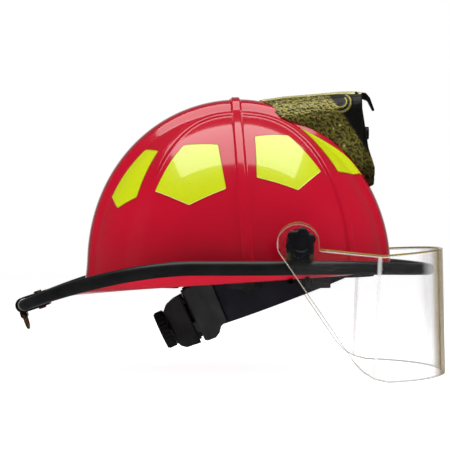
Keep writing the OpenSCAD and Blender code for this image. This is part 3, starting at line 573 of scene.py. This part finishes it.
def fabric(name, low, high):
    s = Shader(name, high, 0.85, Sheen_Weight=0.5, Sheen_Roughness=0.35, Specular_IOR_Level=0.2)
    knit = s.node("ShaderNodeTexVoronoi", {"Vector": s.place(), "Scale": 1100.0}).outputs[0]
    s.to("Base Color", s.ramp(s.noise(160, 6), [(0.3, low), (0.7, high)]))
    s.bump(knit, 0.35, 0.25)
    return s.bump(s.noise(90, 3), 0.3, 0.6).mat


MATS = {
    "shell_red": gloss_red(),
    "trim_rubber": black_rubber(),
    "lime_reflective": lime_sheet(),
    "antique_brass": cast_brass(),
    "bracket_brass": bracket_brass(),
    "screw_brass": screw_brass(),
    "insert_brass": metal("insert_brass", (0.2, 0.13, 0.04), (0.62, 0.46, 0.16)),
    "clip_metal": metal("clip_metal", (0.02, 0.02, 0.018), (0.3, 0.29, 0.22), (0.25, 0.4), 0.55),
    "ring_gold": metal("ring_gold", (0.1, 0.07, 0.02), (0.78, 0.6, 0.22), (0.14, 0.3), 0.4),
    "steel": metal("steel", (0.3, 0.3, 0.31), (0.6, 0.6, 0.61), (0.24, 0.4)),
    "washer_nylon": moulded("washer_nylon", (0.03, 0.03, 0.032), (0.06, 0.06, 0.064)),
    "clear_visor": clear_sheet(),
    "knob_black": moulded("knob_black", (0.004, 0.004, 0.005), (0.009, 0.009, 0.011),
                          (0.24, 0.36), 1800, 0.1),
    "cap_plastic": moulded("cap_plastic", (0.008, 0.008, 0.009), (0.02, 0.02, 0.022)),
    "foam": moulded("foam", (0.2, 0.19, 0.16), (0.33, 0.32, 0.28), (0.8, 0.95), 500, 0.6),
    "webbing": webbing(),
    "pad_fabric": fabric("pad_fabric", (0.014, 0.015, 0.018), (0.035, 0.037, 0.044)),
    "hanger_plastic": moulded("hanger_plastic", (0.008, 0.008, 0.009), (0.018, 0.018, 0.02)),
    "headband_plastic": moulded("headband_plastic", (0.006, 0.006, 0.011), (0.012, 0.012, 0.019),
                                (0.5, 0.66)),
    "ratchet_plastic": moulded("ratchet_plastic", (0.008, 0.008, 0.009), (0.02, 0.019, 0.02),
                               (0.4, 0.55)),
    "wing_plastic": moulded("wing_plastic", (0.016, 0.017, 0.018), (0.03, 0.031, 0.032),
                            (0.45, 0.6)),
}


# ---------------------------------------------------------------- shell
def make_shell():
    columns = 640
    phi = np.arange(columns) * TAU / columns
    psis = np.radians(90 - 90 * np.linspace(0.004, 1, 190) ** 0.93)
    rows = [skin_pt(phi, np.full(columns, p)) for p in psis]
    dome_rows = len(rows)
    root = brim_pt(phi, 0.0)
    rows += [mix(rows[dome_rows - 1], root, s) for s in np.linspace(0.12, 1, 9)]
    root_row = len(rows) - 1
    shares = np.concatenate([np.linspace(0.03, 0.4, 14), np.linspace(0.45, 1, 14)])
    rows += [brim_pt(phi, s) for s in shares]
    smooth = np.array(rows)
    a, b = root_row - 12, root_row + 12
    for _ in range(26):
        smooth[a:b] = (smooth[a - 1:b - 1] + smooth[a:b] * 2 + smooth[a + 1:b + 1]) / 4
    across = np.roll(smooth, -1, 1) - np.roll(smooth, 1, 1)
    along = np.gradient(smooth, axis=0)
    normal = unit(np.cross(along, across))
    normal[0] = (0, 0, 1)
    normal *= np.sign((normal[20] * smooth[20]).sum(-1).mean())
    lines, heights = rib_lines()
    distance, which = nearest(smooth.reshape(-1, 3), lines)
    rise = RIB_HEIGHT * heights[which] * ease((RIB_WIDTH / 2 + 0.3 - distance) / 2.6)
    outer = smooth + normal * rise.reshape(smooth.shape[:2])[..., None]
    inner = smooth - normal * SHELL_WALL
    inner = np.concatenate([inner[:2], inner[4:dome_rows - 8:5], inner[dome_rows - 6:-1:2],
                            inner[-1:]])[::-1]
    return loft("shell", np.concatenate([outer, inner]))


def lip_loop():
    """Section of the edge trim: outward along the brim, and square to it."""
    half, mid, lip = TRIM_THICK / 2, -SHELL_WALL / 2, 1.5
    nose = [(TRIM_NOSE - half + half * math.cos(a), mid + half * math.sin(a))
            for a in np.radians(np.arange(-90, 91, 12))]

    def corner(side):
        turn = [(-TRIM_GRIP + lip - lip * math.sin(a), mid + side * (half - lip + lip * math.cos(a)))
                for a in np.radians(np.arange(0, 91, 18))]
        return turn if side > 0 else turn[::-1]
    slot = [(-TRIM_GRIP, 0.1), (0.1, 0.1), (0.1, -SHELL_WALL - 0.1), (-TRIM_GRIP, -SHELL_WALL - 0.1)]
    return np.array(nose + corner(1) + slot + corner(-1))


def make_trim():
    phi = np.arange(560) * TAU / 560
    edge = brim_pt(phi, 1.0)
    grip = 1 - TRIM_GRIP / np.linalg.norm(edge - brim_pt(phi, 0.0), axis=1)
    out = unit(edge - brim_pt(phi, grip))
    run = out[:, 0] * np.cos(phi) + out[:, 1] * np.sin(phi)
    up = np.stack([-out[:, 2] * np.cos(phi), -out[:, 2] * np.sin(phi), run], -1)
    loop = lip_loop()
    rows = edge[:, None] + out[:, None] * loop[None, :, :1] + up[:, None] * loop[None, :, 1:]
    return loft("edge_trim_rubber", rows, ring=True)


def sticker(name, corners, side):
    """A thin sheet with rounded corners lying on the shell, its outline straight between corners."""
    at = np.radians(np.array(corners))
    dirs = unit(skin_pt(side * at[:, 0], at[:, 1]))
    hub = unit(dirs.mean(0))
    ax = unit(np.cross([0, 0, 1], hub))
    ay = np.cross(hub, ax)
    scale = 1 / (dirs @ hub)
    flat = np.stack([(dirs @ ax) * scale, (dirs @ ay) * scale], -1) * 120
    if np.sum(flat[:, 0] * np.roll(flat[:, 1], -1) - flat[:, 1] * np.roll(flat[:, 0], -1)) < 0:
        flat = flat[::-1]
    loop = []
    for p, q, r in zip(np.roll(flat, 1, 0), flat, np.roll(flat, -1, 0)):
        a, b = q + 1.6 * unit(p - q), q + 1.6 * unit(r - q)
        loop += [mix(mix(a, q, t), mix(q, b, t), t) for t in (0, 0.33, 0.67, 1)]
    loop = np.array(loop)
    edge = []
    for p, q in zip(loop, np.roll(loop, -1, 0)):
        n = max(1, int(np.linalg.norm(q - p) / 2))
        edge += [mix(p, q, i / n) for i in range(n)]
    edge = np.array(edge)
    tangent = unit(np.roll(edge, -1, 0) - np.roll(edge, 1, 0))
    inset = edge + np.stack([-tangent[:, 1], tangent[:, 0]], -1) * 0.7
    low, high = edge.min(0), edge.max(0)
    grid = np.stack(np.meshgrid(np.arange(low[0], high[0], 2.5), np.arange(low[1], high[1], 2.5)),
                    -1).reshape(-1, 2)
    inside = np.zeros(len(grid), bool)
    for p, q in zip(inset, np.roll(inset, -1, 0)):
        crosses = (p[1] > grid[:, 1]) != (q[1] > grid[:, 1])
        with np.errstate(divide="ignore", invalid="ignore"):
            at_x = p[0] + (grid[:, 1] - p[1]) * (q[0] - p[0]) / (q[1] - p[1])
        inside ^= crosses & (grid[:, 0] < at_x)
    clear = np.array([np.min(np.linalg.norm(inset - g, axis=1)) > 1.2 for g in grid])
    grid = grid[inside & clear]
    n = len(edge)
    plane = np.concatenate([edge, inset, grid])
    rings = [[i, (i + 1) % n] for i in range(n)] + [[n + i, n + (i + 1) % n] for i in range(n)]
    verts, _, faces, *_ = delaunay_2d_cdt([Vector(p) for p in plane], rings, [list(range(n))], 1,
                                          1e-5)
    plane = np.array([tuple(v) for v in verts])
    tris = np.array([f for f in faces if len(f) == 3])
    rays = unit(hub + (plane[:, :1] * ax + plane[:, 1:] * ay) / 120)
    phi = np.arctan2(rays[:, 1], rays[:, 0])
    slope = rays[:, 2] / np.hypot(rays[:, 0], rays[:, 1])
    psi = psi_of(phi, lambda p: p[:, 2] / np.maximum(np.hypot(p[:, 0], p[:, 1]), 1e-9), slope)
    spot, normal = skin_pt(phi, psi), skin_normal(phi, psi)
    k = len(plane)
    rim = np.zeros(k)
    rim[:n] = 1
    points = np.concatenate([spot + normal * 0.55, spot + normal * 0.1])
    sides = np.array([[i, (i + 1) % n, k + (i + 1) % n, k + i] for i in range(n)])
    both = np.concatenate([tris, tris[:, ::-1] + k])
    return add_mesh(name, points, sides, both, {"rim": np.concatenate([rim, np.ones(k)])})


def make_stickers():
    sheets = [sticker(f"sticker_{i}_{'left' if side > 0 else 'right'}", corners, side)
              for i, corners in enumerate(STICKERS) for side in (1, -1)]
    for sheet in sheets:
        place(sheet, "helmet", "reflective_stickers", MATS["lime_reflective"])


# ---------------------------------------------------------------- front-piece holder
def scales(u, v, length, width):
    """Height of overlapping leaf-shaped scales, 0 to 1, at places u along and v across."""
    best = np.zeros_like(u)
    for back in (0, 1, 2):
        row = np.floor(u / length) - back
        along = u / length - row
        shift = (row % 2) * 0.5
        col = np.floor(v / width + shift)
        side = (v / width + shift - col - 0.5) * 2
        tip = 1.75 * (1 - 0.45 * side ** 2)
        body = (0.4 + 0.6 * along / 1.75) * np.sqrt(np.maximum(1 - side ** 2, 0))
        body = body - 0.3 * np.exp(-(side / 0.14) ** 2) * (along > 0.25)
        best = np.maximum(best, np.where(along < tip, body, 0) * (1 - 0.2 * back))
    return best


def spiral(centre, start, end, turns, begin=0.0):
    t = np.linspace(0, 1, int(90 * turns))
    r, a = mix(start, end, t), begin + t * turns * TAU
    return np.stack([centre[0] + r * np.cos(a), centre[1] + r * np.sin(a)], -1)


def relief_of(p, normal):
    """Cast relief of the holder's flanks: scales at the back, scrolls and beads, a plain face in front, and
    the mask of painted shade that paints that plain face near-black.
    """
    x, z = p[:, 0], p[:, 2]
    flank = np.abs(normal[:, 1])
    depth = (154 + 0.09 * (x - 15)) - z + 0.5 * np.abs(p[:, 1])
    along = 0.86 * (x - 15) + 0.5 * depth
    across = -0.5 * (x - 15) + 0.86 * depth
    along, across = (along + 1.3 * np.sin(across * 0.47 + 1) + 0.8 * np.sin(along * 0.31 + across * 0.9),
                     across + 1.6 * np.sin(along * 0.39 + 2) + 0.7 * np.sin(along * 1.1 - across * 0.3))
    leaf = scales(along, across, 5.2, 7.4)
    front = ease((x + 0.7 * z - 192) / 6)
    scroll_lines = np.concatenate([
        spiral((94, 154), 14, 7, 0.6, 3.4), spiral((94, 154), 9, 4, 0.5, 3.6),
        spiral((104, 119), 7, 3, 0.75, 3.2), spiral((96, 111), 6, 2.5, 0.8, 0.2)])
    flat3 = np.concatenate([scroll_lines, np.zeros((len(scroll_lines), 1))], 1)
    away, _ = nearest(np.stack([x, z, np.zeros_like(x)], -1), flat3)
    scroll = np.exp(-(away / 1.5) ** 2)
    beads = np.zeros_like(x)
    for bx, bz, size in ((25, 145, 2.4), (96, 111, 2.6), (92, 130, 2.2), (86, 127, 1.8),
                         (34, 150, 1.8)):
        beads = np.maximum(beads, np.exp(-(((x - bx) ** 2 + (z - bz) ** 2) / size ** 2)))
    rim = ease((z - np.interp(x, *HOLDER_TOP) + 3.2) / 2)
    height = np.maximum.reduce([leaf * (1 - front), scroll * 0.72, beads * 0.95, rim])
    # painted shade: mask of the plain front face, painted near-black in the brass material
    painted_shade_panel = front * ease((flank - 0.3) / 0.3) * (1 - np.maximum(scroll, beads)) * ease((z - 104) / 8)
    return height, np.clip(painted_shade_panel, 0, 1)


def make_holder():
    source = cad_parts["front_piece_holder"]
    obj = bpy.data.objects.new("cast_holder", source.data.copy())
    bpy.context.scene.collection.objects.link(obj)
    remeshed(obj, 0.62)
    smooth = obj.modifiers.new("smooth", "SMOOTH")
    smooth.factor, smooth.iterations = 0.5, 6
    applied(obj)
    obj.data.polygons.foreach_set("use_smooth", np.ones(len(obj.data.polygons), bool))
    p = coords(obj)
    normals = np.zeros(len(p) * 3)
    obj.data.vertices.foreach_get("normal", normals)
    normals = normals.reshape(-1, 3)
    height, painted_shade_panel = relief_of(p, normals)
    outside = ease((np.abs(p[:, 1]) - 4) / 4) * ease((normals[:, 1] * np.sign(p[:, 1]) + 0.1) / 0.4)
    set_coords(obj, p + normals * (1.5 * (height - 0.35) * outside)[:, None])
    low_foot = ease((100 - p[:, 2]) / 20)
    rim = ease((p[:, 2] - np.interp(p[:, 0], *HOLDER_TOP) + 3.2) / 2)
    shown = np.clip(mix(0.5, height * 0.95, outside) - 0.22 * low_foot + 0.5 * rim, 0, 1)
    obj.data.attributes.new("relief", "FLOAT", "POINT").data.foreach_set("value", shown)
    obj.data.attributes.new("painted_shade_panel", "FLOAT", "POINT").data.foreach_set("value", painted_shade_panel)
    place(obj, "helmet", "front_piece_holder", MATS["antique_brass"])


# ---------------------------------------------------------------- visor
def visor_column(share, z, inward):
    """Point of the visor's sheet at one share of the way round it, at one height."""
    t = (z - VISOR_LOW) / (VISOR_TOP - VISOR_LOW)
    centre = mix(CREASE_LOW, CREASE_TOP, t) - 10
    nose = mix(NOSE_LOW, NOSE_TOP, t) - centre
    angle = math.radians(CREASE_ANGLE)
    wide = EAR_Y / math.cos(angle)
    turn = np.clip((share - SIDE_SHARE) / (1 - 2 * SIDE_SHARE), 0, 1)
    a = mix(angle, math.pi - angle, turn)
    x = centre + (nose - inward) * np.sin(a)
    y = -(wide - inward) * np.cos(a)
    start = centre + (nose - inward) * math.sin(angle)
    back = np.minimum(share, 1 - share) / SIDE_SHARE
    ear_x = PIVOT[0] - 2 - EAR_R
    x = np.where(back < 1, mix(ear_x + 0.02, start, np.minimum(back, 1) ** 1.25), x)
    y = np.where(back < 1, np.sign(share - 0.5) * (EAR_Y - inward), y)
    return np.stack([x, y, z], -1)


def visor_limits(x):
    """Lowest and highest point of the visor's outline seen from the side."""
    cx, cz = PIVOT[0] - 2, PIVOT[1] - 1
    arc = np.sqrt(np.maximum(EAR_R ** 2 - (x - cx) ** 2, 0))
    top = np.where(x < cx + EAR_R * math.cos(math.radians(15)), cz + arc,
                   np.interp(x, [cx + EAR_R * math.cos(math.radians(15)), CREASE_TOP, NOSE_LOW + 8],
                             [cz - EAR_R * math.sin(math.radians(15)), 12, 17.2]))
    foot = cx + EAR_R * math.cos(math.radians(205))
    low = np.where(x < foot, cz - arc,
                   np.interp(x, [foot, 61.7, 99, 107.5, 118, 130, NOSE_LOW + 8],
                             [cz + EAR_R * math.sin(math.radians(205)), -27, -80, -89, -95.5,
                              -98.5, -98.5]))
    return low, top


def visor_heights(low, top):
    """Heights of the sheet's rows, close together at its two edges."""
    tall = np.maximum(top - low, 1e-6)
    margins = [np.minimum(step, 0.02 * k * tall) for k, step in enumerate(EDGE_STEPS)]
    lower = [low + m for m in margins]
    upper = [top - m for m in margins[::-1]]
    middle = [mix(lower[-1], upper[0], share) for share in np.linspace(0, 1, 34)[1:-1]]
    return np.array(lower + middle + upper)


def visor_face(shares, inward):
    """Rows of points over one face of the sheet, with how far each lies from its two edges."""
    x = visor_column(shares, np.full_like(shares, -20.0), inward)[:, 0]
    for _ in range(3):
        low, top = visor_limits(x)
        x = visor_column(shares, (low + top) / 2, inward)[:, 0]
    heights = visor_heights(low, top)
    return np.array([visor_column(shares, z, inward) for z in heights]), heights - low, top - heights


def make_visor():
    shares = np.linspace(0, 1, 361)
    outer, over_low, under_top = visor_face(shares, 0)
    inner, _, _ = visor_face(shares, VISOR_WALL)
    rim_low = (outer[0] + inner[0]) / 2 - [0, 0, 0.5]
    rim_top = (outer[-1] + inner[-1]) / 2 + [0, 0, 0.5]
    loops = np.concatenate([outer, rim_top[None], inner[::-1], rim_low[None]]).transpose(1, 0, 2)
    behind = outer[..., 0] - outer[..., 0].min()
    ahead_of_ear = ease((outer[..., 0] - PIVOT[0] - EAR_R) / 6)
    crease_gap = np.abs(np.minimum(shares, 1 - shares) - SIDE_SHARE) * 360

    def around(front, low, top, back):
        rows = [front, np.full((1, len(shares)), top), back[::-1], np.full((1, len(shares)), low)]
        return np.concatenate(rows).T
    lines = {
        "low_edge": np.minimum(over_low, behind) / 10,
        "top_edge": under_top / 10,
        "level": ahead_of_ear,
        "crease": np.repeat(crease_gap[None] / 10, len(outer), 0)}
    attrs = {key: around(value, 0.0, 0.0, value) for key, value in lines.items()}
    attrs["crease"] = around(lines["crease"], 1.0, 1.0, np.ones_like(outer[..., 0]))
    obj = loft("visor_sheet", loops, attrs=attrs)
    place(obj, "visor", "visor", MATS["clear_visor"])


def star_profile(steps=192):
    """Radius of the star knob's outline at evenly spaced angles, with soft corners."""
    a = np.arange(steps) * TAU / steps
    r = np.full(steps, float(STAR_R))
    for lobe in range(6):
        turn = a - math.radians(50 + 60 * lobe)
        far, cut = STAR_R + 2.6, 5
        inside = cut ** 2 - (far * np.sin(turn)) ** 2
        hit = far * np.cos(turn) - np.sqrt(np.maximum(inside, 0))
        r = np.where((inside > 0) & (np.cos(turn) > 0), np.minimum(r, hit), r)
    for _ in range(14):
        r = (np.roll(r, 1) + 2 * r + np.roll(r, -1)) / 4
    return a, r


def make_star_knob(side, body, node):
    a, r = star_profile()
    inner_z = EAR_Y + 1.1
    # (depth, share of the radius, inset in mm)
    steps = [(0, 0.46, 0), (0, 1, 1.0), (0.3, 1, 0.4), (1.0, 1, 0), (8.5, 1, 0), (10.2, 1, 0.35),
             (11.2, 1, 1.0), (11.8, 1, 2.0), (12.0, 1, 3.2), (11.9, 0.62, 0), (11.5, 0.58, 0),
             (10.6, 0.55, 0), (10.4, 0.5, 0), (10.4, 0.3, 0), (10.6, 0.1, 0)]
    rows = []
    for depth, share, inset in steps:
        ring = r * share - inset if share > 0.7 else np.full_like(r, STAR_R * share)
        rows.append(np.stack([PIVOT[0] + ring * np.cos(a), np.full_like(a, side * (inner_z + depth)),
                              PIVOT[1] + ring * np.sin(a)], -1))
    obj = loft(f"{node}_moulded", rows)
    place(obj, body, node, MATS["knob_black"])


# ---------------------------------------------------------------- suspension
def make_dome_layer(name, node, slot, outer, inner, rim_z):
    phi = np.arange(180) * TAU / 180
    psi = np.radians(90 - 90 * np.linspace(0.01, 1, 46) ** 0.95)

    def rows(dome):
        up = [dome_pt(phi, np.full_like(phi, p), dome) for p in psi]
        foot = up[-1].copy()
        foot[:, 2] = rim_z
        return up + [mix(up[-1], foot, 0.9), foot]
    down = rows(outer)
    down[-1] = down[-1] * [0.996, 0.996, 1]
    back = rows(inner)[::-1]
    back[0] = back[0] * [1.004, 1.004, 1]
    obj = loft(name, np.array(down + back))
    place(obj, "helmet", node, MATS[slot])


def plan_of_band(angle, out):
    front = np.cos(angle) > 0
    return np.stack([np.where(front, BAND_FRONT + out, BAND_R + out) * np.cos(angle),
                     (BAND_R + out) * np.sin(angle)], -1)


def band_low(x):
    return -14.5 - (x + 100) * 16.7 / 210


def band_high(x):
    return np.interp(x, [-62, -44, -16], [BAND_REAR_TOP, BAND_REAR_TOP - 5, BAND_TOP])


def band_strip(name, angles, near_out, far_out, low, high, radius):
    """Curved strip along the headband with a rounded section, from near_out to far_out."""
    rows = []
    for angle in angles:
        base = plan_of_band(np.array([angle]), 0)[0]
        lower, upper = low(base[0]), high(base[0])
        box = rounded_box(upper - lower, far_out - near_out, radius)
        mid = (upper + lower) / 2
        out = (far_out + near_out) / 2
        at = np.array([plan_of_band(np.array([angle]), out + q[1])[0] for q in box])
        rows.append(band_world(np.column_stack([at, mid + box[:, 0]])))
    return loft(name, rows)


def make_headband():
    gap = math.radians(POD_HALF)
    angles = np.linspace(-math.pi + gap, math.pi - gap, 200)
    obj = band_strip("headband_strip", angles, 0, BAND_WALL, band_low, band_high, 0.8)
    place(obj, "helmet", "headband", MATS["headband_plastic"])


def make_pads():
    brow_end = math.acos(22 / 86)
    brow = band_strip("brow_pad_foam", np.linspace(-brow_end, brow_end, 90), -5.3, -1.1,
                      lambda x: max(band_low(x), -28) + 0.8, lambda x: BAND_TOP - 2.3, 1.6)
    place(puffed(brow, 2.6, 1.6), "helmet", "brow_pad", MATS["pad_fabric"])
    wrap = math.radians(33)
    nape = band_strip("nape_pad_foam", np.linspace(math.pi - wrap, math.pi + wrap, 40), -6.3, -2.1,
                      lambda x: POD_Z - 10.3, lambda x: POD_Z + 10.3, 1.6)
    place(puffed(nape, 2.2, 1.4), "helmet", "nape_pad", MATS["pad_fabric"])
    a = np.arange(96) * TAU / 96
    rows = []
    for r, z in ((10, 101), (26.6, 101), (28.3, 101.6), (28.8, 103.1), (28.3, 104.6),
                 (26.6, 105.2), (10, 105.2)):
        rows.append(np.stack([r * np.cos(a), r * np.sin(a), np.full_like(a, z)], -1))
    crown = loft("crown_pad_foam", rows)
    place(puffed(crown, 2.6, 1.4), "helmet", "crown_pad", MATS["pad_fabric"])


def cap_out(phi):
    """Direction square to the cap's inner wall at one plan angle."""
    ends = phi + np.radians([-2, 2])
    run = np.diff(plan_r(ends, CAP - CAP_WALL) * [np.cos(ends), np.sin(ends)], axis=1)[:, 0]
    return math.atan2(-run[0], run[1])


def make_strap(node, angle, crown_z):
    """One length of webbing over the crown, its feet turned to lie along the cap's wall."""
    angle = math.radians(angle)
    reach = plan_r(np.array([angle, angle + math.pi]), CAP - CAP_WALL - 4)
    t = np.radians(np.linspace(2, 178, 170))
    c, s = np.cos(t), np.sin(t)
    r = np.where(c > 0, reach[0], reach[1]) * np.abs(c) ** 0.62 * np.sign(c)
    z = STRAP_FOOT + (crown_z - STRAP_FOOT) * s ** 1.2
    out = np.stack([c, np.zeros_like(t), s], -1)
    line = np.stack([r, np.zeros_like(t), z], -1) - out * STRAP_THICK / 2
    turn = np.where(c > 0, cap_out(angle) - angle, cap_out(angle - math.pi) - angle + math.pi) * (1 - s)
    across = np.stack([-np.sin(turn), np.cos(turn), np.zeros_like(t)], -1)
    box = rounded_box(STRAP_WIDE, STRAP_THICK, 0.6)
    rows = line[:, None] + across[:, None] * box[None, :, :1] + out[:, None] * box[None, :, 1:]
    spin = np.array([[math.cos(angle), math.sin(angle), 0], [-math.sin(angle), math.cos(angle), 0],
                     [0, 0, 1]])
    run = np.concatenate([[0], np.cumsum(np.linalg.norm(np.diff(line, axis=0), axis=1))])
    uv = np.stack([np.repeat(run[:, None], len(box), 1), np.repeat(box[None, :, 0], len(line), 0)], -1)
    obj = loft(node + "_webbing", rows @ spin, uv=uv)
    place(obj, "helmet", node, MATS["webbing"])


# ---------------------------------------------------------------- parts kept from the CAD model
KEPT = {
    "holder_screws": ("steel", 0.25), "ring_clip": ("clip_metal", 0.4),
    "ring_clip_rivets": ("clip_metal", 0.4), "hanging_ring": ("ring_gold", 0),
    "visor_bracket_left": ("bracket_brass", 0.35), "visor_bracket_right": ("bracket_brass", 0.35),
    "bracket_screws": ("screw_brass", 0.35), "pivot_bolts": ("steel", 0.25),
    "friction_washers": ("washer_nylon", 0.1), "knob_insert_left": ("insert_brass", 0.2),
    "knob_insert_right": ("insert_brass", 0.2), "strap_keys": ("hanger_plastic", 0.5),
    "band_hangers": ("hanger_plastic", 0.4), "ratchet_housing": ("ratchet_plastic", 0.4),
    "ratchet_cover": ("ratchet_plastic", 1.2), "ratchet_screws": ("steel", 0.2),
    "ratchet_knob": ("knob_black", 0.5), "drive_pinion": ("washer_nylon", 0.1),
    "nape_wing_left": ("wing_plastic", 0.5), "nape_wing_right": ("wing_plastic", 0.5),
}


def finish_kept():
    for node, (material, soft) in KEPT.items():
        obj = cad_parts[node]
        obj.data.materials.clear()
        obj.data.materials.append(MATS[material])
        obj.data.polygons.foreach_set("use_smooth", np.ones(len(obj.data.polygons), bool))
        weld = obj.modifiers.new("weld", "WELD")
        weld.merge_threshold = 0.01 * MM
        if soft:
            bevel = obj.modifiers.new("soft_edges", "BEVEL")
            bevel.width, bevel.segments = soft * MM, 3
            bevel.limit_method, bevel.angle_limit = "ANGLE", math.radians(35)
            bevel.use_clamp_overlap = True
            bevel.harden_normals = True


# ---------------------------------------------------------------- studio
BACKDROP, AMBIENT, REFLECTED = 1.0, 0.18, 0.06
FLOOR_GLOW = 0.86


def area_light(name, place_at, target, size, power, mirrored=True):
    """Soft light; one that isn't mirrored leaves no bright patch in the glossy parts."""
    data = bpy.data.lights.new(name, "AREA")
    data.shape = "RECTANGLE"
    data.size, data.size_y = size
    data.energy = power
    obj = bpy.data.objects.new(name, data)
    obj.location = place_at
    obj.visible_glossy = mirrored
    obj.rotation_euler = (Vector(target) - Vector(place_at)).to_track_quat("-Z", "Y").to_euler()
    bpy.context.scene.collection.objects.link(obj)
    return obj


def make_studio():
    floor_z = cad_box[0][2] - 0.001
    s = Shader("studio_floor", (0.86, 0.86, 0.86), 0.7, Specular_IOR_Level=0.1,
               Emission_Color=(1, 1, 1, 1), Emission_Strength=FLOOR_GLOW)
    s.to("Roughness", s.remap(s.noise(3, 2), 0.65, 0.75))
    a = np.arange(96) * TAU / 96
    rows = [np.stack([r * np.cos(a), r * np.sin(a), np.full_like(a, z)], -1)
            for r, z in ((10, 0), (3000, 0), (3000, -10), (10, -10))]
    floor = loft("floor", np.array(rows) + [0, 0, floor_z / MM])
    floor.data.materials.append(s.mat)
    floor.visible_glossy = False

    world = bpy.data.worlds.new("studio")
    world.use_nodes = True
    bpy.context.scene.world = world
    bpy.context.scene.view_settings.view_transform = "Standard"
    nodes, links = world.node_tree.nodes, world.node_tree.links
    sky, rays = nodes["Background"], nodes.new("ShaderNodeLightPath")
    sky.inputs["Color"].default_value = (1, 1, 1, 1)
    strength = None
    for ray, light in (("Is Camera Ray", BACKDROP), ("Is Diffuse Ray", AMBIENT),
                       ("Is Glossy Ray", REFLECTED)):
        term = nodes.new("ShaderNodeMath")
        term.operation = "MULTIPLY_ADD"
        links.new(rays.outputs[ray], term.inputs[0])
        term.inputs[1].default_value = light
        term.inputs[2].default_value = 0
        if strength:
            links.new(strength, term.inputs[2])
        strength = term.outputs[0]
    # a pale wall behind the helmet shows only where its skin is seen edge on
    toward = nodes.new("ShaderNodeSeparateXYZ")
    links.new(nodes.new("ShaderNodeTexCoord").outputs["Generated"], toward.inputs[0])
    wall = nodes.new("ShaderNodeMapRange")
    links.new(toward.outputs["Y"], wall.inputs["Value"])
    for key, value in (("From Min", 0.93), ("From Max", 1.0), ("To Min", 0.0), ("To Max", 0.6)):
        wall.inputs[key].default_value = value
    seen = nodes.new("ShaderNodeMath")
    seen.operation = "MULTIPLY_ADD"
    links.new(rays.outputs["Is Glossy Ray"], seen.inputs[0])
    links.new(wall.outputs["Result"], seen.inputs[1])
    links.new(strength, seen.inputs[2])
    links.new(seen.outputs[0], sky.inputs["Strength"])

    centre = (0, 0, 0.06)
    area_light("overhead", (0.0, -0.15, 1.05), centre, (1.5, 0.9), 14.5)
    area_light("front_side", (1.5, -0.5, 0.45), centre, (0.5, 0.9), 7, mirrored=False)
    area_light("back_side", (-1.5, -0.4, 0.35), centre, (0.4, 0.9), 6, mirrored=False)
    area_light("camera_side", (0.0, -1.9, 0.9), centre, (1.2, 0.5), 1, mirrored=False)

    camera = bpy.data.cameras.new("camera")
    camera.lens, camera.sensor_width = 170.2, 36
    camera.clip_start, camera.clip_end = 0.05, 20
    eye = bpy.data.objects.new("camera", camera)
    target, distance, lift = Vector((-0.0141, 0, 0.0376)), 2.0, math.radians(0.4)
    eye.location = target + distance * Vector((0, -math.cos(lift), math.sin(lift)))
    eye.rotation_euler = (target - eye.location).to_track_quat("-Z", "Y").to_euler()
    bpy.context.scene.collection.objects.link(eye)
    bpy.context.scene.camera = eye


# ---------------------------------------------------------------- build
place(make_shell(), "helmet", "outer_shell", MATS["shell_red"])
place(make_trim(), "helmet", "edge_trim", MATS["trim_rubber"])
make_stickers()
make_holder()
make_visor()
make_star_knob(1, "knob_left", "star_knob_left")
make_star_knob(-1, "knob_right", "star_knob_right")
make_dome_layer("impact_cap_shell", "impact_cap", "cap_plastic", CAP, CAP - CAP_WALL, -10)
make_dome_layer("foam_layer", "foam_liner", "foam", DOME - SHELL_WALL - 3, CAP + 0.4, -4)
make_headband()
make_pads()
for strap, angle, crown in (("crown_strap_cross", 90, 110), ("crown_strap_left_front", 48, 112),
                            ("crown_strap_right_front", 132, 114)):
    make_strap(strap, angle, crown)
finish_kept()
make_studio()
